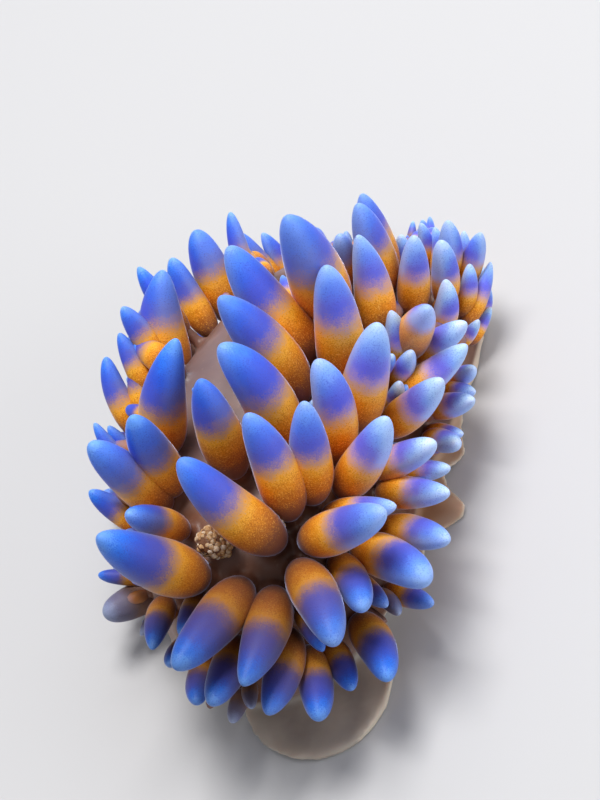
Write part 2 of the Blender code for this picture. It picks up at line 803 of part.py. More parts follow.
def ceras_object(ceras, grow=0.0):
    """Pull a coarse sphere out into one ceras, grown for use as a cutter."""
    shape = bmesh.new()
    small = 1 if ceras.radius < SMALL_CERAS else 0
    sides = CERAS_SIDES - small
    rings = CERAS_RINGS - small
    bmesh.ops.create_uvsphere(shape, u_segments=sides, v_segments=rings, radius=1.0)
    way = (ceras.tip - ceras.base).normalized()
    turn = way.to_track_quat("Z", "X").to_matrix()
    for corner in shape.verts:
        fraction = math.acos(max(-1.0, min(1.0, -corner.co.z))) / math.pi
        around = Vector((corner.co.x, corner.co.y, 0.0))
        if around.length > 1e-6:
            around.normalize()
        radius = ROUNDING * ceras.radius * ceras_radius(fraction) + grow
        point = ceras_axis(ceras, fraction) + way * (2.0 * grow * (fraction - 0.5))
        if fraction < 1e-4 or fraction > 1.0 - 1e-4:
            radius = 0.0
        corner.co = point + turn @ around * radius
    return make_object("ceras", shape)


def stalk_object(ceras, grow=0.0):
    """Make the short stalk that joins a ceras to the flesh under it."""
    top = ceras_axis(ceras, STALK_REACH)
    foot = ceras.root - ceras.normal * ROOT_DEPTH
    way = top - foot
    radius = ceras.radius * STALK_RADIUS + grow
    shape = bmesh.new()
    place = Matrix.Translation((top + foot) / 2.0) @ way.to_track_quat("Z", "X").to_matrix().to_4x4()
    bmesh.ops.create_cone(shape, cap_ends=True, segments=STALK_SIDES, radius1=radius * STALK_FLARE,
                          radius2=radius, depth=way.length, matrix=place)
    return make_object("stalk", shape)


def foot_half_width(along, side):
    """Return how far the sole's edge lies from its middle line on one side."""
    offset = along / FOOT_LOBE_SPAN
    lobe = FOOT_LOBE_HALF_WIDTH * math.sqrt(max(0.0, 1.0 - offset * offset))
    if along <= 0.0:
        return lobe
    inside = min(along, 1.0 - 1e-6)
    width, _ = body_size(inside)
    flange = FOOT_FLANGE
    if side > 0.0:
        past = max(0.0, min(1.0, (along - FOOT_REAR[0]) / (FOOT_REAR[1] - FOOT_REAR[0])))
        flange += (FOOT_REAR_FLANGE - flange) * past * past * (3.0 - 2.0 * past)
        flange += sum(reach * math.exp(-((along - middle) / spread) ** 2)
                      for middle, spread, reach in FOOT_SCALLOPS)
    opening = 1.0 - (1.0 - min(1.0, along / FOOT_NECK)) ** 2
    past = max(0.0, (along - FOOT_TAIL) / (1.0 - FOOT_TAIL + FOOT_TAIL_REACH))
    closing = math.sqrt(max(0.0, 1.0 - past ** 2))
    return max(lobe, opening * (width + flange * closing))


def foot_object(grow=0.0):
    """Make the sole: flat in the middle, thinner and ruffled at its edge, with a lobe before the head."""
    shape = bmesh.new()
    rows = []
    front = -FOOT_LOBE_REACH / BODY_LENGTH
    back = 1.0 + FOOT_TAIL_REACH
    for step in range(1, FOOT_STEPS):
        along = front + (back - front) * (1.0 - math.cos(math.pi * step / FOOT_STEPS)) / 2.0
        centre, heading = midline(along)
        left = heading.cross(UP)
        fade = max(0.0, 1.0 - (along - front) / FOOT_LOBE_SPAN / FOOT_LOBE_FADE)
        centre += left * (FOOT_LOBE_SHIFT * fade)
        low = []
        high = []
        wave = 0.5 - 0.5 * math.cos(2.0 * math.pi * FOOT_RUFFLES * (along - front))
        for column in FOOT_COLUMNS:
            half = foot_half_width(along, column)
            under_body = body_size(min(along, 1.0))[0] if along > 0.0 else 0.0
            flat = max(FOOT_FLAT * half, min(under_body, half - FOOT_EDGE))
            edge = 1.0 if abs(column) > 1.5 else 0.0
            across = math.copysign(half + grow, column) if edge else flat * column
            point = centre + left * across + UP * (FOOT_RUFFLE_RISE * wave * edge)
            thickness = FOOT_THICKNESS + (FOOT_EDGE_THICKNESS - FOOT_THICKNESS) * edge
            low.append(shape.verts.new(point - UP * grow))
            high.append(shape.verts.new(point + UP * (thickness + grow)))
        rows.append(low + high[::-1])
    for row, following in zip(rows, rows[1:]):
        for index in range(len(row)):
            after = (index + 1) % len(row)
            shape.faces.new((row[index], row[after], following[after], following[index]))
    columns = len(FOOT_COLUMNS)
    for row in (rows[0], rows[-1]):
        for index in range(columns - 1):
            shape.faces.new((row[index], row[index + 1], row[-index - 2], row[-index - 1]))
    bmesh.ops.triangulate(shape, faces=shape.faces)
    return make_object("foot", shape)


def turned_object(name, outline, place, sides):
    """Turn an outline of radius and height pairs about Z, close it and put it in place."""
    shape = bmesh.new()
    corners = [shape.verts.new((radius, 0.0, height)) for radius, height in outline]
    edges = [shape.edges.new(pair) for pair in zip(corners, corners[1:])]
    bmesh.ops.spin(shape, geom=corners + edges, cent=(0.0, 0.0, 0.0), axis=(0.0, 0.0, 1.0),
                   angle=2.0 * math.pi, steps=sides, use_merge=True)
    bmesh.ops.remove_doubles(shape, verts=shape.verts, dist=0.01 * MM)
    bmesh.ops.transform(shape, matrix=place, verts=shape.verts)
    return make_object(name, shape)


def standing_place(point, way):
    """Return the placement of a piece that stands on a point and heads one way."""
    return Matrix.Translation(point) @ way.to_track_quat("Z", "X").to_matrix().to_4x4()


def rhinophore_object(name, side):
    """Make one club with leaves round it, standing on the front of the back."""
    stem = RHINOPHORE_STEM * RHINOPHORE_RADIUS
    outline = [(0.0, -RHINOPHORE_SINK), (stem, -RHINOPHORE_SINK), (stem, LEAVES_START * RHINOPHORE_HEIGHT)]
    for leaf in range(RHINOPHORE_LEAVES):
        low = LEAVES_START + LEAVES_SPAN * (leaf + 0.05) / RHINOPHORE_LEAVES
        swell = math.sqrt(max(0.0, 1.0 - (LEAVES_SWELL * (low - LEAVES_WIDEST)) ** 2))
        outline.append((LEAF_GROOVE * RHINOPHORE_RADIUS * swell, low * RHINOPHORE_HEIGHT))
        outline.append((RHINOPHORE_RADIUS * swell, (low + LEAF_RISE) * RHINOPHORE_HEIGHT))
    outline.append((0.0, RHINOPHORE_HEIGHT))
    turn = side * RHINOPHORE_ANGLE + RHINOPHORE_SHIFT
    point = skin(RHINOPHORE_ALONG, turn)
    _, heading = midline(RHINOPHORE_ALONG)
    aside = heading.cross(UP) * (side * RHINOPHORE_SPREAD)
    way = (skin_normal(RHINOPHORE_ALONG, turn) + aside).normalized()
    return turned_object(name, outline, standing_place(point, way), RHINOPHORE_SIDES)


def tentacle_object(name, side):
    """Make one short, blunt oral tentacle beside the mouth."""
    outline = [(0.0, -TENTACLE_SINK), (TENTACLE_RADIUS, -TENTACLE_SINK)]
    outline += [(share * TENTACLE_RADIUS, height * TENTACLE_LENGTH) for share, height in TENTACLE_OUTLINE]
    point = skin(TENTACLE_ALONG, side * TENTACLE_ANGLE)
    _, heading = midline(TENTACLE_ALONG)
    way = (heading.cross(UP) * (side * TENTACLE_SPREAD) - heading - UP * TENTACLE_DROOP).normalized()
    return turned_object(name, outline, standing_place(point, way), TENTACLE_SIDES)


def shape_mouth(head):
    """Swell the lips out of the head's front and cut the line of the mouth into them."""
    point, heading = midline(0.0)
    way = heading.to_track_quat("Y", "Z").to_matrix().to_4x4()
    centre = point + heading * MOUTH_SINK + UP * MOUTH_HEIGHT
    for operation, size, shift in (("UNION", LIPS_SIZE, 0.0), ("DIFFERENCE", SLIT_SIZE, SLIT_FORWARD)):
        shape = bmesh.new()
        bmesh.ops.create_uvsphere(shape, u_segments=12, v_segments=8, radius=1.0)
        scale = Matrix.Diagonal((*size, 1.0))
        place = Matrix.Translation(centre - heading * shift) @ way @ scale
        bmesh.ops.transform(shape, matrix=place, verts=shape.verts)
        combine(head, [make_object("lips", shape)], operation)


def touching(first, second):
    """Tell whether two cerata come within the gap of each other."""
    if (first.root - second.root).length > NEAR_LENGTHS * (ceras_length(first) + ceras_length(second)):
        return False
    steps = [index / (AXIS_STEPS - 1) for index in range(AXIS_STEPS)]
    nearest = min((ceras_axis(first, a) - ceras_axis(second, b)).length for a in steps for b in steps)
    return nearest < first.radius + second.radius + GAP


def share_out(cerata, bodies):
    """Give each ceras to the length of body whose skin is nearest its root."""
    trees = {}
    for name, body in bodies.items():
        shape = bmesh.new()
        shape.from_mesh(body.data)
        trees[name] = BVHTree.FromBMesh(shape)
        shape.free()
    owners = {name: [] for name in bodies}
    for ceras in cerata:
        nearest = min(trees, key=lambda name: trees[name].find_nearest(ceras.root)[3])
        owners[nearest].append(ceras)
    return owners


def grown_cutters(cerata):
    """Return cerata and their stalks grown by the clearance, for use as cutters."""
    return [make(ceras, CLEARANCE) for ceras in cerata for make in (ceras_object, stalk_object)]


def fit_feelers(cerata):
    """Make the rhinophores and oral tentacles and cut each clear of the body and of near cerata."""
    for word, side in (("left", 1.0), ("right", -1.0)):
        for make, name in ((rhinophore_object, "rhinophore_"), (tentacle_object, "oral_tentacle_")):
            piece = make(name + word, side)
            corners = [corner.co for corner in piece.data.vertices]
            centre = sum(corners, Vector()) / len(corners)
            near = [ceras for ceras in cerata if (ceras.root - centre).length < NEIGHBOUR_REACH]
            cutters = [cell_object(cell, CLEARANCE) for cell in CELLS if cell.name in FEELER_CELLS]
            combine(piece, cutters + grown_cutters(near), "DIFFERENCE")
            keep_largest(piece)


def grow_cerata(bodies, owners):
    """Join the cerata to their lengths of body and cut each length clear of its neighbours."""
    done = []
    for name, body in bodies.items():
        own = owners[name]
        combine(body, [make(ceras) for ceras in own for make in (ceras_object, stalk_object)], "UNION")
        cutters = [cell_object(cell, CLEARANCE) for cell in CELLS if cell.name != name]
        cutters.append(foot_object(FOOT_CLEARANCE))
        cutters += grown_cutters([other for other in done if any(touching(other, ceras) for ceras in own)])
        combine(body, cutters, "DIFFERENCE")
        keep_largest(body)
        done += own


def finish_nodes():
    """Move every node to its final place and give each its own material, smooth where it is round."""
    for item in bpy.data.objects:
        item.data.transform(Matrix.Translation(BODY_PLACE))
        colour, roughness = next(look for part, look in NODE_LOOKS if item.name.startswith(part))
        item.data.materials.clear()
        item.data.materials.append(make_material(item.name, colour, roughness))
        for face in item.data.polygons:
            face.material_index = 0
            face.use_smooth = True


def main():
    """Build every node of the animal."""
    clear_scene()
    tree = body_tree()
    seen = [seen_ceras(tree, item) for table in SEEN_TABLES for item in table]
    hidden = [ceras for ceras in hidden_cerata(seen, screen_tree(seen))
              if ceras.radius > LEAST_FORM_RADIUS]
    cerata = [clear_floor(ceras) for ceras in seen + hidden]
    bodies = {cell.name: cell_object(cell) for cell in CELLS}
    owners = share_out(cerata, bodies)
    foot_object()
    shape_mouth(bodies["head"])
    fit_feelers(cerata)
    grow_cerata(bodies, owners)
    finish_nodes()


main()
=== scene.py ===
"""Looks of a life-size gas flame nudibranch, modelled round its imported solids.

The head faces -Y, the left side faces +X and the sole lies on Z = 0. One skin takes in the body and the
foot, and the cerata stand on it one by one, each coloured from its brown base to its blue tip.
"""

import logging
import math
import random
from dataclasses import dataclass
from enum import Enum
from typing import NamedTuple

import bmesh
import bpy
from mathutils import Matrix, Vector
from mathutils.bvhtree import BVHTree
from mathutils.kdtree import KDTree


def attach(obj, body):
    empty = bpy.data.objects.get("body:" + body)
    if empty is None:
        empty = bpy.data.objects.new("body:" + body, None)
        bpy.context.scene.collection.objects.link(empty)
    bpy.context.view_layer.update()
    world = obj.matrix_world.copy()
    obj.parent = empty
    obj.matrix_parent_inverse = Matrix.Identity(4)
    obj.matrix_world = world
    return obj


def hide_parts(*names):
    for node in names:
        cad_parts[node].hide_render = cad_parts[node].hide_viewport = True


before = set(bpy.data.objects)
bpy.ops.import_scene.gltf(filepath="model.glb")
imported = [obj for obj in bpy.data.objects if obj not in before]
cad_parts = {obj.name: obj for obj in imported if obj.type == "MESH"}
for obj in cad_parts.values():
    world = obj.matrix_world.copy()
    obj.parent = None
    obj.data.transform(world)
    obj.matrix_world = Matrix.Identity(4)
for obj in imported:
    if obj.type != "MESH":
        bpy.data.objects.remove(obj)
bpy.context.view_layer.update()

LOG = logging.getLogger("nudibranch")

MM = 0.001
UP = Vector((0.0, 0.0, 1.0))
SIDE = math.radians(90.0)
FRAME_PIXELS = (600.0, 800.0)
GRAIN_GAIN = 4.0
CLOUD_SHARE = 0.11
WELD = 0.01 * MM
TINY = 1e-6

Rgb = tuple[float, float, float]
Stops = tuple[tuple[float, Rgb], ...]


def colour(red: float, green: float, blue: float) -> tuple[float, float, float, float]:
    """Turn a colour of 0 to 255 steps, as a screen shows it, into a linear one.

    Args:
        red: The red step.
        green: The green step.
        blue: The blue step.

    Returns:
        The linear colour, with full alpha.
    """
    linear = [((step / 255.0 + 0.055) / 1.055) ** 2.4 if step > 10.0 else step / 255.0 / 12.92
              for step in (red, green, blue)]
    return linear[0], linear[1], linear[2], 1.0


def smoothstep(low: float, high: float, value: float) -> float:
    """Ease a value from 0 at low to 1 at high.

    Args:
        low: Where the easing starts.
        high: Where it ends.
        value: The value to ease.

    Returns:
        The eased share.
    """
    share = max(0.0, min(1.0, (value - low) / (high - low)))
    return share * share * (3.0 - 2.0 * share)


def stand(point: Vector, way: Vector) -> Matrix:
    """Return the placing that stands an upright form on a point, with its top toward a way."""
    return Matrix.Translation(point) @ way.to_track_quat("Z", "X").to_matrix().to_4x4()


class Seen(NamedTuple):
    """A ceras in view: its ends' pixels, width, whether it is behind, greying (partly painted shade) and late
    blue.
    """

    base_x: float
    base_y: float
    tip_x: float
    tip_y: float
    width: float
    behind: bool = False
    clear: float = 0.0
    late: float = 0.0


SEEN_RIGHT = (
    Seen(176, 385, 162, 270, 49, True),
    Seen(166, 452, 176, 339, 47),
    Seen(155, 440, 136, 343, 29, True),
    Seen(150, 445, 105, 357, 27, True),
    Seen(155, 400, 119, 333, 24, True),
    Seen(165, 365, 122, 307, 27, True),
    Seen(188, 335, 138, 267, 24, True),
    Seen(214, 338, 171, 258, 30, True),
    Seen(236, 322, 195, 230, 42, True),
    Seen(255, 295, 230, 212, 22, True),
    Seen(290, 298, 237, 233, 30, True),
    Seen(306, 288, 262, 233, 24, True),
    Seen(152, 470, 108, 426, 20, True),
    Seen(150, 485, 94, 423, 18, True),
    Seen(168, 508, 90, 444, 42),
    Seen(176, 492, 132, 417, 42),
    Seen(150, 530, 89, 491, 26, True),
    Seen(187, 532, 127, 514, 32),
    Seen(205, 580, 98, 537, 52),
    Seen(154, 578, 98, 575, 17, True),
    Seen(158, 590, 104, 615, 34, True, 0.85),
    Seen(166, 600, 141, 636, 15, True, 0.8),
)

SEEN_CROWN = (
    Seen(316, 362, 228, 247, 50),
    Seen(302, 402, 220, 297, 52),
    Seen(293, 452, 221, 345, 50),
    Seen(237, 475, 200, 380, 44),
    Seen(333, 325, 287, 217, 57),
    Seen(388, 285, 362, 194, 38),
    Seen(385, 295, 358, 204, 40),
    Seen(378, 345, 358, 235, 40),
    Seen(345, 388, 326, 266, 48),
    Seen(355, 428, 378, 324, 46),
    Seen(336, 464, 318, 360, 42),
    Seen(340, 495, 387, 418, 40),
    Seen(313, 502, 304, 402, 42),
    Seen(292, 518, 247, 414, 44),
    Seen(282, 547, 179, 460, 48),
    Seen(303, 543, 384, 512, 42),
    Seen(322, 516, 396, 506, 28),
    Seen(356, 300, 346, 231, 22, True),
    Seen(346, 286, 340, 235, 25),
)

SEEN_LEFT_REAR = (
    Seen(394, 368, 391, 311, 26),
    Seen(390, 388, 412, 351, 22),
    Seen(386, 412, 400, 382, 18),
    Seen(412, 315, 414, 236, 33),
    Seen(400, 285, 401, 235, 20),
    Seen(445, 305, 441, 241, 29),
    Seen(427, 270, 421, 223, 18),
    Seen(444, 284, 448, 221, 28),
    Seen(458, 292, 481, 233, 26),
    Seen(461, 318, 470, 264, 20),
    Seen(463, 330, 491, 262, 18),
    Seen(438, 335, 446, 280, 26),
    Seen(402, 352, 428, 308, 38, late=0.24),
    Seen(412, 358, 466, 323, 28),
    Seen(455, 348, 479, 320, 15),
    Seen(395, 402, 467, 345, 33),
    Seen(440, 392, 475, 392, 20),
    Seen(428, 410, 474, 400, 26),
    Seen(382, 432, 442, 380, 36),
    Seen(426, 430, 463, 434, 18),
    Seen(438, 280, 435, 227, 18),
    Seen(462, 290, 464, 231, 20),
    Seen(474, 318, 483, 267, 16),
    Seen(474, 330, 490, 288, 14),
    Seen(470, 345, 491, 307, 13),
    Seen(448, 380, 474, 369, 20),
)

SEEN_LEFT_FRONT = (
    Seen(425, 438, 458, 445, 24),
    Seen(372, 472, 435, 443, 32),
    Seen(395, 474, 450, 468, 22),
    Seen(378, 492, 449, 493, 32),
    Seen(380, 528, 449, 540, 34),
    Seen(355, 545, 428, 580, 42),
    Seen(385, 588, 433, 604, 24),
    Seen(297, 565, 335, 644, 44),
    Seen(335, 558, 363, 609, 34),
    Seen(352, 578, 387, 606, 22),
    Seen(376, 592, 399, 614, 18, False, 0.75),
    Seen(358, 618, 388, 679, 38),
    Seen(328, 640, 352, 689, 28),
    Seen(298, 600, 323, 651, 22),
)

SEEN_BROW = (
    Seen(308, 648, 319, 719, 34),
    Seen(290, 630, 268, 714, 38),
    Seen(277, 590, 243, 685, 44),
    Seen(247, 583, 175, 668, 46),
    Seen(190, 640, 169, 665, 20),
    Seen(242, 640, 211, 704, 36),
    Seen(212, 655, 196, 703, 28),
    Seen(168, 598, 152, 649, 27),
    Seen(200, 592, 180, 635, 20),
    Seen(245, 690, 232, 722, 18, False, 0.85),
    Seen(250, 680, 252, 708, 16, False, 0.8),
    Seen(240, 670, 216, 706, 16, True, 0.8),
)

SEEN_TABLES = (SEEN_RIGHT, SEEN_CROWN, SEEN_LEFT_REAR, SEEN_LEFT_FRONT, SEEN_BROW)


class Row(NamedTuple):
    """A row of cerata: its angle from the top, its ends along the body, its pitch and their length."""

    angle: float
    start: float
    end: float
    pitch: float
    length: float


HIDDEN_ROWS = (
    Row(math.radians(2.0), 0.45, 0.97, 4.4 * MM, 12.0 * MM),
    Row(math.radians(-8.0), 0.36, 0.97, 4.4 * MM, 13.0 * MM),
    Row(math.radians(-18.0), 0.36, 0.97, 4.4 * MM, 14.0 * MM),
    Row(math.radians(-29.0), 0.30, 0.97, 4.4 * MM, 14.0 * MM),
    Row(math.radians(-40.0), 0.25, 0.97, 4.4 * MM, 13.0 * MM),
    Row(math.radians(-51.0), 0.15, 0.98, 4.4 * MM, 12.0 * MM),
    Row(math.radians(-62.0), 0.10, 0.98, 4.2 * MM, 10.5 * MM),
    Row(math.radians(-73.0), 0.06, 0.98, 4.0 * MM, 8.5 * MM),
    Row(math.radians(-84.0), 0.05, 0.98, 3.8 * MM, 6.5 * MM),
    Row(math.radians(4.0), 0.86, 0.97, 4.6 * MM, 10.0 * MM),
    Row(math.radians(38.0), 0.88, 0.98, 4.2 * MM, 8.5 * MM),
    Row(math.radians(66.0), 0.90, 0.98, 4.2 * MM, 6.5 * MM),
    Row(math.radians(80.0), 0.06, 0.30, 4.4 * MM, 5.5 * MM),
)


# Young cerata stand in even rows, clear of the middle of the back.
YOUNG_ROWS = tuple(Row(math.radians(angle), 0.04, 0.97, 3.1 * MM, 5.6 * MM)
                   for angle in range(-88, 89, 9) if abs(angle) > 26)


class CerasGroup(Enum):
    """The groups that the cerata stand in, by the name of each group's piece."""

    RIGHT = "cerata_right"
    CROWN = "cerata_crown"
    LEFT_REAR = "cerata_left_rear"
    LEFT_FRONT = "cerata_left_front"
    BROW = "cerata_brow"
    FAR_SIDE = "cerata_far_side"
    YOUNG = "cerata_young"


class Ceras(NamedTuple):
    """One ceras in place: the skin under it, its ends, radius, bow, taper, greying and late blue."""

    root: Vector
    normal: Vector
    base: Vector
    tip: Vector
    radius: float
    bow: Vector = Vector()
    taper: float = 0.42
    clear: float = 0.0
    late: float = 0.0


class Tint(NamedTuple):
    """A colour laid over flesh: its share, and the inputs that mask it, each plain or eased between two."""

    label: str
    shade: Rgb
    share: float
    masks: tuple[tuple, ...]
    blend: str = "MIX"


class Ground(NamedTuple):
    """A cloudy ground colour: where the cloud eases, and the two colours that it blends."""

    reach: tuple[float, float]
    dark: Rgb
    light: Rgb


class Shader:
    """A node tree that is built a node at a time."""

    def __init__(self, tree: bpy.types.NodeTree) -> None:
        """Keep the tree."""
        self.tree = tree

    def node(self, kind: str, inputs: dict, **settings: object) -> bpy.types.Node:
        """Add a node.

        Args:
            kind: The node's type name.
            inputs: Values or sockets by input name or index.
            settings: The node's own properties.

        Returns:
            The new node.
        """
        made = self.tree.nodes.new(kind)
        for key, value in settings.items():
            setattr(made, key, value)
        for key, value in inputs.items():
            if isinstance(value, bpy.types.NodeSocket):
                self.tree.links.new(value, made.inputs[key])
            else:
                made.inputs[key].default_value = value
        return made

    def maths(self, operation: str, first: object, second: object) -> bpy.types.NodeSocket:
        """Add a Math node and return its result's socket."""
        return self.node("ShaderNodeMath", {0: first, 1: second}, operation=operation).outputs[0]

    def times(self, *factors: object) -> bpy.types.NodeSocket:
        """Multiply values.

        Args:
            factors: The values or sockets, with a socket among them.

        Returns:
            The product's socket.
        """
        product = factors[0]
        for factor in factors[1:]:
            product = self.maths("MULTIPLY", product, factor)
        return product

    def swing(self, value: bpy.types.NodeSocket, reach: object) -> bpy.types.NodeSocket:
        """Turn a value that swings round a half into one that swings round 0, by a reach."""
        return self.times(self.maths("SUBTRACT", value, 0.5), reach)

    def between(self, value: bpy.types.NodeSocket, low: float, high: float) -> bpy.types.NodeSocket:
        """Ease a value from 0 at low to 1 at high.

        Args:
            value: The socket to ease.
            low: Where the easing starts.
            high: Where it ends.

        Returns:
            The eased value's socket.
        """
        made = self.node("ShaderNodeMapRange", {"Value": value, "From Min": low, "From Max": high},
                         interpolation_type="SMOOTHSTEP")
        return made.outputs["Result"]

    def ramp(self, factor: bpy.types.NodeSocket, stops: Stops) -> bpy.types.NodeSocket:
        """Add a colour ramp.

        Args:
            factor: The socket that the ramp reads.
            stops: Pairs of place and colour.

        Returns:
            The colour's socket.
        """
        made = self.node("ShaderNodeValToRGB", {"Fac": factor})
        made.color_ramp.interpolation = "EASE"
        elements = made.color_ramp.elements
        while len(elements) < len(stops):
            elements.new(0.5)
        for element, (place, shade) in zip(elements, stops):
            element.position = place
            element.color = colour(*shade)
        return made.outputs["Color"]

    def mix(self, factor: object, first: object, second: object, blend: str = "MIX") -> bpy.types.NodeSocket:
        """Mix two colours.

        Args:
            factor: The share of the second, as a value or socket.
            first: The first colour or socket.
            second: The second colour or socket.
            blend: The way that they mix.

        Returns:
            The mixed colour's socket.
        """
        first, second = (colour(*item) if isinstance(item, tuple) else item for item in (first, second))
        # The node's colours are its sockets 6, 7 and 2, and the others are for other kinds of data.
        inputs = {0: factor, 6: first, 7: second}
        return self.node("ShaderNodeMix", inputs, data_type="RGBA", blend_type=blend).outputs[2]

    def lay(self, shade: bpy.types.NodeSocket, tint: Tint, inputs: dict) -> bpy.types.NodeSocket:
        """Lay a tint over a colour.

        Args:
            shade: The colour's socket.
            tint: The tint.
            inputs: The sockets that its masks read, by name.

        Returns:
            The tinted colour's socket.
        """
        laid = self.mix(self.masked(tint.masks, tint.share, inputs), shade, tint.shade, tint.blend)
        laid.node.label = tint.label
        return laid

    def masked(self, masks: tuple[tuple, ...], share: float, inputs: dict) -> bpy.types.NodeSocket:
        """Cut a share by masks.

        Args:
            masks: The masks, each the name of an input, alone or with the two values it is eased between.
            share: The greatest share.
            inputs: The sockets that the masks read, by name.

        Returns:
            The share's socket.
        """
        eased = [self.between(inputs[name], *reach) if reach else inputs[name] for name, *reach in masks]
        return self.times(*eased, share)

    def cloudy(self, cloud: bpy.types.NodeSocket, ground: Ground) -> bpy.types.NodeSocket:
        """Blend the two colours of a ground by a cloud."""
        return self.mix(self.between(cloud, *ground.reach), ground.dark, ground.light)

    def attribute(self, name: str) -> bpy.types.NodeSocket:
        """Return the socket of a mesh attribute's value."""
        return self.node("ShaderNodeAttribute", {}, attribute_name=name).outputs["Fac"]


def grain_group() -> bpy.types.NodeTree:
    """Build the fine grain that every kind of flesh shows, once.

    Returns:
        A node group with inputs Size and Contrast and outputs Grain and Cloud.
    """
    name = "flesh_grain"
    if name in bpy.data.node_groups:
        return bpy.data.node_groups[name]
    group = bpy.data.node_groups.new(name, "ShaderNodeTree")
    for label, value in (("Size", 2600.0), ("Contrast", 0.5)):
        socket = group.interface.new_socket(name=label, in_out="INPUT", socket_type="NodeSocketFloat")
        socket.default_value = value
    for label in ("Grain", "Cloud"):
        group.interface.new_socket(name=label, in_out="OUTPUT", socket_type="NodeSocketFloat")
    shader = Shader(group)
    inside = shader.node("NodeGroupInput", {})
    place = shader.node("ShaderNodeTexCoord", {}).outputs["Object"]
    fine = shader.node("ShaderNodeTexNoise", {"Vector": place, "Scale": inside.outputs["Size"], "Detail": 2.0,
                                             "Roughness": 0.6}).outputs["Fac"]
    spread = shader.swing(fine, inside.outputs["Contrast"])
    grain = shader.maths("ADD", shader.times(spread, GRAIN_GAIN), 0.5)
    broad = shader.times(inside.outputs["Size"], CLOUD_SHARE)
    cloud = shader.node("ShaderNodeTexNoise", {"Vector": place, "Scale": broad, "Detail": 3.0}).outputs["Fac"]
    shader.node("NodeGroupOutput", {"Grain": grain, "Cloud": cloud})
    return group


def new_material(name: str) -> tuple[bpy.types.Material, Shader, bpy.types.Node]:
    """Make a material.

    Args:
        name: The material's name.

    Returns:
        The material, its node tree and its Principled shader.
    """
    material = bpy.data.materials.new(name)
    material.use_nodes = True
    return material, Shader(material.node_tree), material.node_tree.nodes["Principled BSDF"]


@dataclass(frozen=True)
class Flesh:
    """What the finishes of flesh share: grain, relief, gloss, a pale rim and light that spreads inside."""

    name: str
    grains: float
    contrast: float
    speckle: float = 0.0
    relief: str = "Grain"
    relief_strength: float = 0.0
    relief_depth: float = 0.1 * MM
    roughness: float = 0.5
    specular: float = 0.28
    softness: float = 0.2
    soft_reach: float = 1.2 * MM
    soft_tint: Rgb = (1.0, 0.7, 0.9)
    rim: float = 0.1
    rim_tint: Rgb = (232, 220, 214)
    rim_roughness: float = 0.2

    def paint(self, shader: Shader, grain: bpy.types.Node) -> bpy.types.NodeSocket:
        """Return the base colour's socket, which each finish works out its own way."""
        raise NotImplementedError

    def build(self) -> bpy.types.Material:
        """Build the material.

        Returns:
            The material.
        """
        material, shader, principled = new_material(self.name)
        sizes = {"Size": self.grains, "Contrast": self.contrast}
        grain = shader.node("ShaderNodeGroup", sizes, node_tree=grain_group())
        shader.tree.links.new(self.paint(shader, grain), principled.inputs["Base Color"])
        if self.relief_strength > 0.0:
            bump = shader.node("ShaderNodeBump", {"Height": grain.outputs[self.relief],
                                                  "Strength": self.relief_strength,
                                                  "Distance": self.relief_depth})
            shader.tree.links.new(bump.outputs["Normal"], principled.inputs["Normal"])
        values = {"Roughness": self.roughness, "Specular IOR Level": self.specular,
                  "Subsurface Weight": self.softness, "Subsurface Scale": self.soft_reach,
                  "Subsurface Radius": self.soft_tint, "Sheen Weight": self.rim,
                  "Sheen Tint": colour(*self.rim_tint), "Sheen Roughness": self.rim_roughness}
        for key, value in values.items():
            principled.inputs[key].default_value = value
        return material


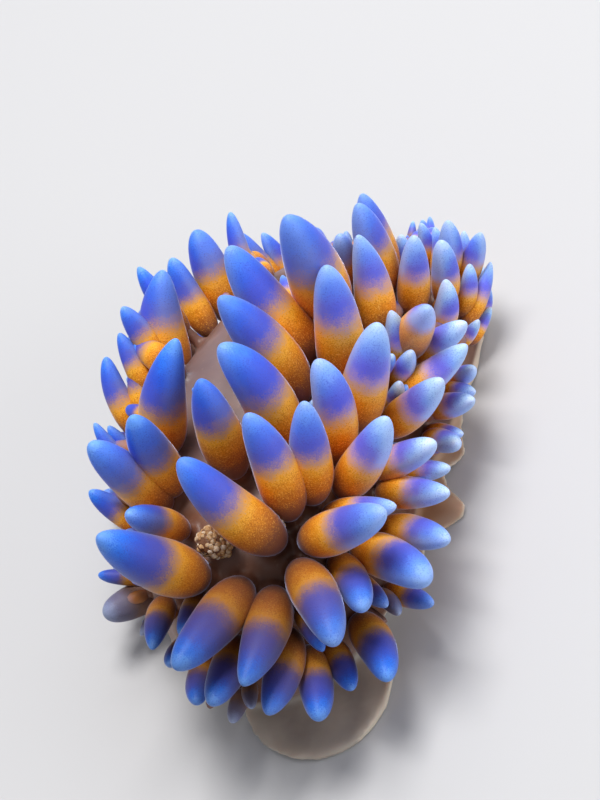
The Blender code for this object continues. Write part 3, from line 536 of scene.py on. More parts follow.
@dataclass(frozen=True)
class CerasFinish(Flesh):
    """Flesh of the cerata: brown base, orange band, violet core and blue tip."""

    name: str = "ceras_flesh"
    grains: float = 7000.0
    contrast: float = 0.55
    wander: float = 0.10
    speckle: float = 0.07
    relief_strength: float = 0.18
    relief_depth: float = 0.06 * MM
    rim: float = 0.85
    rim_tint: Rgb = (196, 212, 255)
    deep: Stops = (
        (0.00, (120, 80, 70)), (0.14, (134, 84, 60)), (0.26, (190, 110, 32)), (0.37, (232, 144, 18)),
        (0.45, (250, 174, 40)), (0.51, (208, 154, 104)), (0.57, (150, 122, 152)), (0.65, (88, 98, 190)),
        (0.80, (48, 100, 224)), (0.93, (48, 122, 244)), (1.00, (88, 156, 252)))
    # Paler copy of the colours above, with whiter tips: painted light, laid on the cerata that stood in the
    # light.
    pale: Stops = (
        (0.00, (142, 100, 90)), (0.12, (158, 100, 68)), (0.24, (212, 126, 32)), (0.35, (240, 152, 22)),
        (0.43, (250, 178, 60)), (0.49, (226, 178, 152)), (0.56, (194, 164, 214)), (0.66, (148, 148, 238)),
        (0.79, (146, 186, 252)), (0.90, (172, 212, 255)), (1.00, (216, 236, 255)))
    # Dull grey colours for the greyed cerata: partly painted shade, for those that lay in shadow.
    greyed: Stops = (
        (0.00, (98, 72, 62)), (0.45, (118, 96, 92)), (0.75, (116, 110, 124)), (1.00, (146, 152, 174)))
    core_deep: Rgb = (62, 84, 216)
    core_painted_light: Rgb = (88, 78, 222)
    core_share: float = 0.68
    core_masks: tuple[tuple, ...] = (("place", 0.52, 0.68), ("place", 0.96, 0.76), ("face", 0.2, 0.95))
    painted_rim_gain: float = 0.65
    painted_rim_least: float = 0.12
    tints: tuple[Tint, ...] = (
        # Painted rim light: the sides of each ceras, away from its outward face, are lightened, bluish toward
        # the tip and rosy by the band.
        Tint("painted cold rim light", (180, 206, 255), 1.0, (("light",), ("face", 0.5, 0.0), ("place", 0.46, 0.62))),
        Tint("painted rosy rim light", (226, 168, 136), 0.5, (("light",), ("face", 0.5, 0.0), ("place", 0.58, 0.42))),
        Tint("gold grains", (255, 200, 96), 0.6, (("place", 0.08, 0.26), ("place", 0.54, 0.42),
                                                  ("grain", 0.55, 0.95))),
        Tint("rust grains", (168, 84, 14), 0.5, (("place", 0.08, 0.26), ("place", 0.54, 0.42),
                                                 ("grain", 0.42, 0.1))),
        Tint("violet grains", (44, 50, 170), 0.35, (("place", 0.55, 0.68), ("grain", 0.4, 0.05))),
        # Painted shade: the brow cerata, which lay in shadow, are darkened and dulled.
        Tint("painted shade on base", (92, 62, 56), 0.6, (("painted_shade",), ("place", 0.85, 0.3))),
        Tint("painted shade on band", (96, 80, 128), 0.5, (("painted_shade",), ("place", 0.46, 0.58), ("place", 0.92, 0.74))),
        Tint("painted_shade", (184, 168, 160), 0.75, (("painted_shade",),), "MULTIPLY"))

    def paint(self, shader: Shader, grain: bpy.types.Node) -> bpy.types.NodeSocket:
        """Colour a ceras from its base to its tip.

        Args:
            shader: The material's node tree.
            grain: The grain node.

        Returns:
            The colour, which reads the attributes span, face, pale, painted_shade, slide and greying.
        """
        inputs = {name: shader.attribute(name) for name in ("span", "face", "pale", "painted_shade", "slide", "clear")}
        place = shader.maths("ADD", inputs["span"], shader.swing(grain.outputs["Cloud"], self.wander))
        place = shader.maths("ADD", place, shader.swing(grain.outputs["Grain"], self.speckle))
        place = shader.maths("ADD", place, inputs["slide"])
        # How strongly the rim light is painted, more on the cerata with painted light.
        light = shader.maths("ADD", shader.times(inputs["pale"], self.painted_rim_gain), self.painted_rim_least)
        inputs.update(place=place, light=light, grain=grain.outputs["Grain"])
        # Painted light: the paler ramp and core colour take over as the pale share rises.
        shade = shader.mix(inputs["pale"], shader.ramp(place, self.deep), shader.ramp(place, self.pale))
        core = shader.masked(self.core_masks, self.core_share, inputs)
        shade = shader.mix(core, shade, shader.mix(inputs["pale"], self.core_deep, self.core_painted_light))
        for tint in self.tints:
            shade = shader.lay(shade, tint, inputs)
        # Greying toward dull grey, partly painted shade.
        return shader.mix(inputs["clear"], shade, shader.ramp(place, self.greyed))


@dataclass(frozen=True)
class SkinFinish(Flesh):
    """Wet, smooth skin: grey-mauve on the back, brown and darkened by painted shade between the cerata, pale
    at the foot's edge.
    """

    name: str = "body_skin"
    grains: float = 1800.0
    contrast: float = 0.35
    relief: str = "Cloud"
    relief_strength: float = 0.12
    relief_depth: float = 0.2 * MM
    roughness: float = 0.42
    specular: float = 0.35
    softness: float = 0.35
    soft_reach: float = 2.0 * MM
    soft_tint: Rgb = (1.0, 0.6, 0.45)
    rim: float = 0.3
    back: Ground = Ground((0.35, 0.7), (126, 100, 94), (150, 124, 116))
    # Brown skin between the cerata, darker there as painted shade.
    brown_and_shade: Ground = Ground((0.3, 0.7), (88, 54, 42), (122, 80, 60))
    hump: Tint = Tint("bare hump", (124, 110, 114), 1.0, (("hump",),))
    foot: Ground = Ground((0.3, 0.72), (150, 140, 132), (176, 166, 156))
    tints: tuple[Tint, ...] = (
        Tint("amber foot", (178, 118, 62), 1.0, (("amber",),)),
        Tint("pale rim", (214, 198, 180), 1.0, (("rim",),)),
        Tint("pale dots", (206, 176, 150), 0.12, (("grain", 0.62, 0.95),)))

    def paint(self, shader: Shader, grain: bpy.types.Node) -> bpy.types.NodeSocket:
        """Colour the skin from its back to its foot.

        Args:
            shader: The material's node tree.
            grain: The grain node.

        Returns:
            The colour, which reads the attributes foot, rim, brown_and_shade, hump and amber.
        """
        inputs = {name: shader.attribute(name) for name in ("foot", "rim", "brown_and_shade", "hump", "amber")}
        inputs["grain"] = grain.outputs["Grain"]
        back, brown_and_shade, foot = (shader.cloudy(grain.outputs["Cloud"], ground)
                              for ground in (self.back, self.brown_and_shade, self.foot))
        shade = shader.lay(shader.mix(inputs["brown_and_shade"], back, brown_and_shade), self.hump, inputs)
        shade = shader.mix(inputs["foot"], shade, foot)
        for tint in self.tints:
            shade = shader.lay(shade, tint, inputs)
        return shade


@dataclass(frozen=True)
class SpeckledFinish(Flesh):
    """Flesh whose colour follows one attribute, with specks that shift it."""

    attribute: str = "span"
    stops: Stops = ()

    def paint(self, shader: Shader, grain: bpy.types.Node) -> bpy.types.NodeSocket:
        """Colour the flesh by its attribute.

        Args:
            shader: The material's node tree.
            grain: The grain node.

        Returns:
            The colour's socket.
        """
        speck = shader.swing(grain.outputs["Grain"], self.speckle)
        return shader.ramp(shader.maths("ADD", shader.attribute(self.attribute), speck), self.stops)


YOUNG_FINISH = SpeckledFinish(
    "young_ceras_flesh", grains=3000.0, contrast=0.4, speckle=0.06, softness=0.3, rim=0.35,
    rim_tint=(206, 222, 255), attribute="span", stops=(
        (0.00, (116, 76, 60)), (0.30, (178, 112, 54)), (0.52, (160, 124, 122)), (0.72, (112, 112, 206)),
        (0.88, (110, 156, 244)), (1.00, (172, 206, 252))))

CLUB_FINISH = SpeckledFinish(
    "rhinophore_grains", grains=2600.0, contrast=0.8, speckle=0.3, relief_strength=0.5,
    relief_depth=0.12 * MM, specular=0.5, softness=0.15, soft_reach=0.8 * MM, soft_tint=(1.0, 0.7, 0.5),
    attribute="grit", stops=(
        (0.0, (126, 88, 64)), (0.3, (158, 108, 66)), (0.6, (208, 164, 112)), (0.85, (232, 204, 168)),
        (1.0, (244, 230, 212))))


@dataclass(frozen=True)
class FloorFinish:
    """Plain pale studio floor."""

    name: str = "studio_floor"
    cloud_scale: float = 3.0
    dark: Rgb = (196, 196, 198)
    light: Rgb = (200, 200, 201)
    roughness: float = 0.8

    def build(self) -> bpy.types.Material:
        """Build the material.

        Returns:
            The material.
        """
        material, shader, principled = new_material(self.name)
        place = shader.node("ShaderNodeTexCoord", {}).outputs["Object"]
        cloud = shader.node("ShaderNodeTexNoise", {"Vector": place, "Scale": self.cloud_scale}).outputs["Fac"]
        shader.tree.links.new(shader.mix(cloud, self.dark, self.light), principled.inputs["Base Color"])
        principled.inputs["Roughness"].default_value = self.roughness
        return material


@dataclass(frozen=True)
class Sight:
    """The line of sight of the picture, in the body's own frame and a frame of 600 by 800 pixels."""

    azimuth: float = math.radians(45.0)
    elevation: float = math.radians(50.0)
    roll: float = math.radians(-34.0)
    distance: float = 330.0 * MM
    pixels_per_metre: float = 8850.0
    centre_pixel: tuple[float, float] = (310.0, 492.0)
    sensor: float = 24.0

    def axes(self) -> tuple[Vector, Vector, Vector]:
        """Find the axes of the picture.

        Returns:
            The right, up and backward axes.
        """
        back = Vector((math.sin(self.azimuth) * math.cos(self.elevation),
                       -math.cos(self.azimuth) * math.cos(self.elevation), math.sin(self.elevation)))
        level = Vector((math.cos(self.azimuth), math.sin(self.azimuth), 0.0))
        right = Matrix.Rotation(self.roll, 3, back) @ level
        return right, back.cross(right), back

    def ray(self, pixel_x: float, pixel_y: float) -> tuple[Vector, Vector]:
        """Cast a ray through a pixel.

        Args:
            pixel_x: The pixel's column.
            pixel_y: The pixel's row.

        Returns:
            The ray's start and direction.
        """
        right, up, back = self.axes()
        scale = self.pixels_per_metre * self.distance
        across = (pixel_x - self.centre_pixel[0]) / scale
        down = (pixel_y - self.centre_pixel[1]) / scale
        return back * self.distance, (right * across - up * down - back).normalized()

    def pixel_of(self, point: Vector) -> Vector:
        """Find where a point shows.

        Args:
            point: The point, in the body's frame.

        Returns:
            Its pixel.
        """
        right, up, back = self.axes()
        offset = point - back * self.distance
        scale = self.pixels_per_metre * self.distance / -offset.dot(back)
        return Vector((self.centre_pixel[0] + scale * offset.dot(right),
                       self.centre_pixel[1] - scale * offset.dot(up)))


@dataclass(frozen=True)
class Body:
    """The dome of the body, swept along an arc whose centre lies on the left."""

    length: float = 60.0 * MM
    bend: float = math.radians(87.0)
    middle: float = 0.458
    half_width: float = 14.5 * MM
    height: float = 19.0 * MM
    base: float = 1.3 * MM
    head_taper: float = 0.285
    tail_taper: float = 0.45
    squareness: float = 0.85
    head_power: float = 2.4
    tail_power: float = 2.2
    tail_fall: float = 0.75
    hump_along: float = 0.45
    hump_angle: float = math.radians(-20.0)
    hump_rise: float = 2.0 * MM
    hump_spread: float = 7.0 * MM
    place: tuple[float, float, float] = (-1.575 * MM, 0.705 * MM, 0.0)
    probe: float = 0.004
    probe_end: float = 0.001
    end_gap: float = 0.0005
    belly_sag: float = 0.4 * MM
    detail: tuple[int, int] = (96, 72)

    @property
    def radius(self) -> float:
        """Return the radius of the arc."""
        return self.length / self.bend

    def midline(self, along: float) -> tuple[Vector, Vector]:
        """Find the middle of the body on the floor.

        Args:
            along: The fraction of the body's length from the head.

        Returns:
            The point and the way that the body runs there.
        """
        angle = (along - self.middle) * self.bend
        point = Vector((self.radius * (1.0 - math.cos(angle)), self.radius * math.sin(angle), 0.0))
        return point, Vector((math.sin(angle), math.cos(angle), 0.0))

    def size(self, along: float) -> tuple[float, float]:
        """Find how wide and high the dome is.

        Args:
            along: The fraction of the body's length from the head.

        Returns:
            Its half width and its height.
        """
        head = min(along / self.head_taper, 1.0)
        tail = min((1.0 - along) / self.tail_taper, 1.0)
        width = math.sqrt(1.0 - (1.0 - head) ** 2)
        width *= math.sqrt(max(0.0, 1.0 - (1.0 - tail) ** self.tail_power))
        height = math.sqrt(1.0 - (1.0 - head) ** self.head_power)
        height *= max(0.0, 1.0 - (1.0 - tail) ** 2) ** self.tail_fall
        return self.half_width * width, self.height * height

    def hump_centre(self) -> Vector:
        """Find the middle of the bare swelling.

        Returns:
            The point, on the plain dome.
        """
        centre, heading = self.midline(self.hump_along)
        outward = heading.cross(UP) * math.sin(self.hump_angle) + UP * math.cos(self.hump_angle)
        return centre + outward * self.height

    def point(self, along: float, turn: float) -> Vector:
        """Find a point of the skin.

        Args:
            along: The fraction of the body's length from the head.
            turn: The section's own turn from the top, positive on the left.

        Returns:
            The point.
        """
        centre, heading = self.midline(along)
        left = heading.cross(UP)
        width, height = self.size(along)
        across = math.copysign(abs(math.sin(turn)) ** self.squareness, turn)
        rise = abs(math.cos(turn)) ** self.squareness
        point = centre + left * (width * across) + UP * (self.base + height * rise)
        outward = left * math.sin(turn) + UP * math.cos(turn)
        swelling = self.hump_rise * math.exp(-((point - self.hump_centre()).length / self.hump_spread) ** 2)
        return point + outward * swelling

    def normal(self, along: float, turn: float) -> Vector:
        """Find which way the skin faces.

        Args:
            along: The fraction of the body's length from the head.
            turn: The section's own turn from the top, positive on the left.

        Returns:
            The outward normal.
        """
        ahead = self.point(min(along + self.probe, 1.0 - self.probe_end), turn)
        behind = self.point(max(along - self.probe, self.probe_end), turn)
        left = self.point(along, min(turn + self.probe, SIDE))
        right = self.point(along, max(turn - self.probe, -SIDE))
        return (left - right).cross(ahead - behind).normalized()

    def locate(self, point: Vector) -> tuple[float, float]:
        """Find where a point lies over the foot.

        Args:
            point: The point, in the body's frame.

        Returns:
            Its fraction along the body and its distance from the middle line, positive on the left.
        """
        angle = math.atan2(point.y, self.radius - point.x)
        across = self.radius - math.hypot(point.y, self.radius - point.x)
        return angle / self.bend + self.middle, across

    def dome(self) -> bmesh.types.BMesh:
        """Pull a sphere out into the whole dome of the body.

        Returns:
            The closed mesh.
        """
        shape = bmesh.new()
        sides, rings = self.detail
        bmesh.ops.create_uvsphere(shape, u_segments=sides, v_segments=rings, radius=1.0)
        for corner in shape.verts:
            along = max(self.end_gap, min(1.0 - self.end_gap, (1.0 - corner.co.z) / 2.0))
            turn = math.atan2(corner.co.x, corner.co.y)
            if abs(turn) <= SIDE:
                corner.co = self.point(along, turn)
            else:
                flat = self.point(along, math.copysign(SIDE, turn))
                other = self.point(along, -math.copysign(SIDE, turn))
                share = (abs(turn) - SIDE) / (2.0 * SIDE)
                corner.co = flat.lerp(other, share) - UP * (self.belly_sag * math.sin(math.pi * share))
        bmesh.ops.remove_doubles(shape, verts=shape.verts, dist=WELD)
        return shape


@dataclass(frozen=True)
class Foot:
    """The sole: flat in the middle, thinner and ruffled at its edge, with a lobe before the head."""

    flange: float = 0.9 * MM
    rear_flange: float = 0.25 * MM
    rear: tuple[float, float] = (0.64, 0.78)
    scallops: tuple = ((0.41, 0.09, 4.7 * MM), (0.63, 0.07, 1.7 * MM))
    thickness: float = 1.0 * MM
    edge_thickness: float = 0.5 * MM
    tail_reach: float = 0.04
    tail: float = 0.6
    neck: float = 0.2
    lobe_reach: float = 8.4 * MM
    lobe_half_width: float = 8.6 * MM
    lobe_shift: float = 1.0 * MM
    lobe_fade: float = 1.6
    ruffle_rise: float = 0.8 * MM
    ruffles: float = 8.0
    flat: float = 0.8
    detail: tuple[int, int] = (150, 44)
    first_row: float = 0.004
    rows_span: float = 0.992

    def front(self, body: Body) -> float:
        """Return where the lobe starts, as a fraction of the body's length."""
        return -self.lobe_reach / body.length

    def half_width(self, body: Body, along: float, side: float) -> float:
        """Find how far the sole's edge lies from its middle line.

        Args:
            body: The body over the foot.
            along: The fraction of the body's length from the head.
            side: Positive on the left.

        Returns:
            The half width.
        """
        offset = along / (self.lobe_reach / body.length)
        lobe = self.lobe_half_width * math.sqrt(max(0.0, 1.0 - offset * offset))
        if along <= 0.0:
            return lobe
        width, _ = body.size(min(along, 1.0 - TINY))
        flange = self.flange
        if side > 0.0:
            flange += (self.rear_flange - flange) * smoothstep(*self.rear, along)
            flange += sum(reach * math.exp(-((along - middle) / spread) ** 2)
                          for middle, spread, reach in self.scallops)
        opening = 1.0 - (1.0 - min(1.0, along / self.neck)) ** 2
        past = max(0.0, (along - self.tail) / (1.0 - self.tail + self.tail_reach))
        closing = math.sqrt(max(0.0, 1.0 - past ** 2))
        return max(lobe, opening * (width + flange * closing))

    def sole(self, body: Body) -> bmesh.types.BMesh:
        """Shape a grid into the sole and raise its upper face.

        Args:
            body: The body over the foot.

        Returns:
            The closed mesh.
        """
        shape = bmesh.new()
        rows, columns = self.detail
        bmesh.ops.create_grid(shape, x_segments=rows, y_segments=columns, size=1.0)
        front = self.front(body)
        back = 1.0 + self.tail_reach
        lifts = {}
        for corner in shape.verts:
            step = self.first_row + self.rows_span * (corner.co.x + 1.0) / 2.0
            column = corner.co.y
            along = front + (back - front) * (1.0 - math.cos(math.pi * step)) / 2.0
            centre, heading = body.midline(along)
            left = heading.cross(UP)
            fade = max(0.0, 1.0 - (along - front) / (self.lobe_reach / body.length) / self.lobe_fade)
            centre += left * (self.lobe_shift * fade)
            half = self.half_width(body, along, column)
            edge = smoothstep(self.flat, 1.0, abs(column))
            wave = 0.5 - 0.5 * math.cos(2.0 * math.pi * self.ruffles * (along - front))
            corner.co = centre + left * (half * column) + UP * (self.ruffle_rise * wave * edge)
            lifts[corner.index] = self.thickness + (self.edge_thickness - self.thickness) * edge
        lower = list(shape.verts)
        raised = bmesh.ops.extrude_face_region(shape, geom=list(shape.faces))["geom"]
        upper = [item for item in raised if isinstance(item, bmesh.types.BMVert)]
        for below, above in zip(lower, upper):
            above.co = above.co + UP * lifts[below.index]
        bmesh.ops.recalc_face_normals(shape, faces=shape.faces)
        return shape


@dataclass(frozen=True)
class CerasForm:
    """The form of a ceras: an egg-like base that narrows to a blunt tip, on a short stalk."""

    widest: float = 0.34
    aspect: float = 3.05
    lift: float = 0.62
    bend: float = 0.06
    base_power: float = 2.4
    taper_power: float = 1.3
    tip_power: float = 4.5
    stalk_radius: float = 0.42
    stalk_reach: float = 0.2
    stalk_flare: float = 1.5
    stalk_sides: int = 12
    least_stalk: float = 0.45 * MM
    root_depth: float = 1.6 * MM
    lowest_tip: float = 3.4 * MM
    tip_clearance: float = 0.3

    def radius(self, fraction: float, taper: float) -> float:
        """Find how thick a ceras is.

        Args:
            fraction: The fraction of its length from the base.
            taper: How much it narrows toward the tip.

        Returns:
            The radius, as a share of the greatest.
        """
        if fraction < self.widest:
            away = (self.widest - fraction) / self.widest
            return math.sqrt(max(0.0, 1.0 - away ** self.base_power))
        away = (fraction - self.widest) / (1.0 - self.widest)
        return (1.0 - taper * away ** self.taper_power) * math.sqrt(max(0.0, 1.0 - away ** self.tip_power))

    def axis(self, ceras: Ceras, fraction: float) -> Vector:
        """Return a point of the gently bent axis."""
        reach = (ceras.tip - ceras.base).length * math.sin(math.pi * fraction)
        return ceras.base.lerp(ceras.tip, fraction) + (ceras.normal * self.bend + ceras.bow) * reach

    def clear_floor(self, ceras: Ceras) -> Ceras:
        """Raise the tip of a ceras that would reach too low.

        Args:
            ceras: The ceras.

        Returns:
            The ceras, raised where it has to be.
        """
        lowest = self.lowest_tip + ceras.radius * self.tip_clearance
        if ceras.tip.z >= lowest:
            return ceras
        return ceras._replace(tip=Vector((ceras.tip.x, ceras.tip.y, lowest)))

    def add(self, shape: bmesh.types.BMesh, ceras: Ceras, sides: int, rings: int) -> list[bmesh.types.BMVert]:
        """Pull a sphere out into one ceras.

        Args:
            shape: The mesh to add it to.
            ceras: Where it stands and how large it is.
            sides: How many sides it has.
            rings: How many rings it has.

        Returns:
            The new corners.
        """
        made = bmesh.ops.create_uvsphere(shape, u_segments=sides, v_segments=rings, radius=1.0, calc_uvs=True)
        way = (ceras.tip - ceras.base).normalized()
        turn = way.to_track_quat("Z", "X").to_matrix()
        for corner in made["verts"]:
            fraction = (1.0 + max(-1.0, min(1.0, corner.co.z))) / 2.0
            around = Vector((corner.co.x, corner.co.y, 0.0))
            if around.length > TINY:
                around.normalize()
            inside = TINY < fraction < 1.0 - TINY
            radius = ceras.radius * self.radius(fraction, ceras.taper) if inside else 0.0
            corner.co = self.axis(ceras, fraction) + turn @ around * radius
        return made["verts"]

    def add_stalk(self, shape: bmesh.types.BMesh, ceras: Ceras) -> None:
        """Add the short stalk that joins a ceras to the flesh under it.

        Args:
            shape: The mesh to add it to.
            ceras: The ceras on the stalk.
        """
        top = self.axis(ceras, self.stalk_reach)
        foot = ceras.root - ceras.normal * self.root_depth
        way = top - foot
        radius = max(self.least_stalk, ceras.radius * self.stalk_radius)
        place = stand((top + foot) / 2.0, way)
        bmesh.ops.create_cone(shape, cap_ends=True, segments=self.stalk_sides, depth=way.length, matrix=place,
                              radius1=radius * self.stalk_flare, radius2=radius)


class Planting:
    """Where every ceras stands: those in view by their pixels, and the rest in rows."""

    far_steps = 60
    far_start = 0.03
    far_span = 0.94
    far_turns = 56
    far_half_turn = math.radians(84.0)
    far_facing = 0.1
    behind_lean = 0.3
    hidden_seed = 11
    young_seed = 23
    form_seed = 5
    outline_centre = Vector((290.0, 460.0))
    outline_margin = 6.0
    outline_slope = 0.75
    least_size = 0.05
    shortening = 0.93
    droop_step = 0.12
    lowest_lean = -0.4
    least_stand = 0.2
    crown_height = 1.5 * MM
    peek_shares = (0.3, 0.7)
    peek_width = 0.8
    crowding = 0.85
    young_crowding = 0.8
    screen_detail = (8, 8)
    scatter = math.radians(4.0)
    stagger = (0.3, 0.7)
    end_share = 0.55
    end_slope = 1.6
    length_spread = (0.88, 1.12)
    upward = 0.35
    sweep_spread = (-0.3, 0.3)
    sweep_slope = 0.9
    bow_aside = (-0.05, 0.05)
    bow_outward = (-0.05, 0.03)
    tapers = (0.34, 0.56)

    def __init__(self, body: Body, form: CerasForm, sight: Sight) -> None:
        """Plant every ceras.

        Args:
            body: The body that they stand on.
            form: Their form.
            sight: The line of sight of the picture.
        """
        self.body = body
        self.form = form
        self.sight = sight
        dome = body.dome()
        self.skin = BVHTree.FromBMesh(dome)
        self.far = self.far_samples()
        self.reaches = [Vector((seen.tip_x, seen.tip_y)) - self.outline_centre
                        for table in SEEN_TABLES for seen in table]
        seen = {group: [self.seen_ceras(item) for item in table]
                for group, table in zip(CerasGroup, SEEN_TABLES)}
        shown = [ceras for table in seen.values() for ceras in table]
        self.screen = self.screen_tree(dome, shown)
        dome.free()
        placed = list(shown)
        hidden = self.rows(HIDDEN_ROWS, placed, random.Random(self.hidden_seed), self.crowding)
        young = self.rows(YOUNG_ROWS, placed, random.Random(self.young_seed), self.young_crowding)
        groups = {**seen, CerasGroup.FAR_SIDE: hidden, CerasGroup.YOUNG: young}
        chance = random.Random(self.form_seed)
        self.groups = {group: [self.vary(form.clear_floor(ceras), chance) for ceras in table]
                       for group, table in groups.items()}

    def vary(self, ceras: Ceras, chance: random.Random) -> Ceras:
        """Give a ceras a bow and a taper of its own.

        Args:
            ceras: The plain ceras.
            chance: The source of the variation.

        Returns:
            The varied ceras.
        """
        aside = (ceras.tip - ceras.base).normalized().cross(ceras.normal)
        bow = aside * chance.uniform(*self.bow_aside) + ceras.normal * chance.uniform(*self.bow_outward)
        return ceras._replace(bow=bow, taper=chance.uniform(*self.tapers))

    def far_samples(self) -> list[tuple[Vector, Vector, Vector]]:
        """Sample the skin that faces away from view.

        Returns:
            The pixel, point and normal of each sample.
        """
        _, _, back = self.sight.axes()
        samples = []
        for index in range(self.far_steps):
            along = self.far_start + self.far_span * index / self.far_steps
            for step in range(self.far_turns + 1):
                turn = self.far_half_turn * (2.0 * step / self.far_turns - 1.0)
                normal = self.body.normal(along, turn)
                if normal.dot(back) <= self.far_facing:
                    point = self.body.point(along, turn)
                    samples.append((self.sight.pixel_of(point), point, normal))
        return samples

    def seen_ceras(self, seen: Seen) -> Ceras:
        """Set one ceras in view on the skin.

        Args:
            seen: Its pixels and width.

        Returns:
            The ceras in place.
        """
        radius = seen.width / self.sight.pixels_per_metre / 2.0
        start, direction = self.sight.ray(seen.base_x, seen.base_y)
        point, normal, _, _ = self.skin.ray_cast(start, direction)
        if seen.behind or point is None:
            pixel = Vector((seen.base_x, seen.base_y))
            _, point, normal = min(self.far, key=lambda sample: (sample[0] - pixel).length)
        base = start + direction * (point + normal * (self.form.lift * radius) - start).dot(direction)
        tip_start, tip_direction = self.sight.ray(seen.tip_x, seen.tip_y)
        flat_tip = tip_start + tip_direction * (base - tip_start).dot(tip_direction)
        shown = (flat_tip - base).length
        length = max(self.form.aspect * 2.0 * radius, shown)
        toward = math.sqrt(max(0.0, length ** 2 - shown ** 2))
        if seen.behind:
            toward *= self.behind_lean
        tip = flat_tip - tip_direction * toward
        return Ceras(point, normal, base, tip, radius, clear=seen.clear, late=seen.late)

    def screen_tree(self, dome: bmesh.types.BMesh, shown: list[Ceras]) -> BVHTree:
        """Build a search tree over the skin and the cerata in view.

        Args:
            dome: The dome of the body.
            shown: The cerata in view.

        Returns:
            The tree.
        """
        shape = dome.copy()
        for ceras in shown:
            self.form.add(shape, ceras, *self.screen_detail)
        tree = BVHTree.FromBMesh(shape)
        shape.free()
        return tree

    def covered(self, point: Vector) -> bool:
        """Tell whether the skin or a ceras in view hides a point.

        Args:
            point: The point, in the body's frame.

        Returns:
            Whether it is hidden.
        """
        _, _, back = self.sight.axes()
        toward_eye = (back * self.sight.distance - point).normalized()
        return self.screen.ray_cast(point, toward_eye)[0] is not None

    def shows(self, point: Vector) -> bool:
        """Tell whether a point shows, or lies outside the outline of the tips in view."""
        return self.outside(point) or not self.covered(point)

    def peeks(self, base: Vector, tip: Vector, radius: float) -> bool:
        """Tell whether a ceras shows that should be out of view.

        Args:
            base: Its base.
            tip: Its tip.
            radius: Its greatest radius.

        Returns:
            Whether its tip or one of its sides shows.
        """
        _, _, back = self.sight.axes()
        aside = (tip - base).cross(back).normalized() * (radius * self.peek_width)
        middles = [base.lerp(tip, share) for share in self.peek_shares]
        tested = [tip] + [middle + aside for middle in middles] + [middle - aside for middle in middles]
        return any(self.shows(point) for point in tested)

    def outside(self, point: Vector) -> bool:
        """Tell whether a point would show outside the outline of the tips in view.

        Args:
            point: The point, in the body's frame.

        Returns:
            Whether it lies outside.
        """
        offset = self.sight.pixel_of(point) - self.outline_centre
        way = offset.normalized()
        return all(offset.length > reach.length
                   * (1.0 - self.outline_slope * (way - reach.normalized()).length) - self.outline_margin
                   for reach in self.reaches)

    def row_ceras(self, row: Row, index: int, count: int, chance: random.Random) -> Ceras:
        """Grow one ceras of a row, varied a little in place, lean and size.

        Args:
            row: The row.
            index: Its number in the row.
            count: How many the row has.
            chance: The source of the variation.

        Returns:
            The ceras in place.
        """
        along = row.start + (row.end - row.start) * (index + chance.uniform(*self.stagger)) / count
        turn = row.angle + chance.uniform(-self.scatter, self.scatter)
        point = self.body.point(along, turn)
        normal = self.body.normal(along, turn)
        ends = min(1.0, self.end_share + self.end_slope * min(along, 1.0 - along))
        length = row.length * ends * chance.uniform(*self.length_spread)
        radius = length / self.form.aspect / 2.0
        _, heading = self.body.midline(along)
        sweep = chance.uniform(*self.sweep_spread) + self.sweep_slope * (along - 0.5)
        lean = (normal + UP * self.upward + heading * sweep).normalized()
        _, _, back = self.sight.axes()
        lift = normal * self.form.lift
        while radius > row.length * self.least_size:
            base = point + lift * radius
            if not self.peeks(base, base + lean * length, radius):
                break
            droop = (lean - back * self.droop_step).normalized()
            if droop.z > self.lowest_lean and droop.dot(normal) > self.least_stand:
                lean = droop
            else:
                length *= self.shortening
                radius *= self.shortening
        base = point + lift * radius
        return Ceras(point, normal, base, base + lean * length, radius)

    def rows(self, rows: tuple[Row, ...], placed: list[Ceras], chance: random.Random,
             crowding: float) -> list[Ceras]:
        """Fill the skin that the line of sight doesn't reach.

        Args:
            rows: The rows to grow.
            placed: The cerata that stand already, to which the new ones are added.
            chance: The source of the variation.
            crowding: The least distance between two roots, as a share of their radii.

        Returns:
            The new cerata.
        """
        added = []
        for row in rows:
            count = round((row.end - row.start) * self.body.length / row.pitch)
            for index in range(count):
                ceras = self.row_ceras(row, index, count, chance)
                hidden = self.covered(ceras.root + ceras.normal * self.crown_height)
                crowded = any((other.root - ceras.root).length < crowding * (other.radius + ceras.radius)
                              for other in placed)
                if hidden and not crowded and not self.peeks(ceras.base, ceras.tip, ceras.radius):
                    added.append(ceras)
                    placed.append(ceras)
        return added


class Piece:
    """What every finished piece of the animal shares."""

    flesh_nodes = ("head", "brow", "back", "flank_left_front", "flank_left_middle", "flank_left_rear",
                   "flank_right_front", "flank_right_middle", "flank_right_rear", "tail")

    @staticmethod
    def finish(name: str, shape: bmesh.types.BMesh, material: bpy.types.Material, slot: str,
               nodes: tuple[str, ...]) -> bpy.types.Object:
        """Turn a mesh into a piece of the animal.

        Args:
            name: The piece's name.
            shape: The mesh, in its final place, which is freed.
            material: Its finish.
            slot: The record's material slot; not used.
            nodes: The solids that it stands for.

        Returns:
            The piece.
        """
        mesh = bpy.data.meshes.new(name)
        shape.normal_update()
        for face in shape.faces:
            face.smooth = True
        shape.to_mesh(mesh)
        shape.free()
        mesh.materials.append(material)
        piece = bpy.data.objects.new(name, mesh)
        bpy.context.scene.collection.objects.link(piece)
        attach(piece, "root")
        if nodes:
            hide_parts(*nodes)
        LOG.info("%s: %d faces", name, len(mesh.polygons))
        return piece

    @staticmethod
    def write(piece: bpy.types.Object, values: dict[str, list[float]]) -> None:
        """Write values to a piece's corners, as attributes that its finish reads.

        Args:
            piece: The piece.
            values: One value for each corner, by attribute name.
        """
        for name, numbers in values.items():
            layer = piece.data.attributes.new(name, "FLOAT", "POINT")
            layer.data.foreach_set("value", numbers)


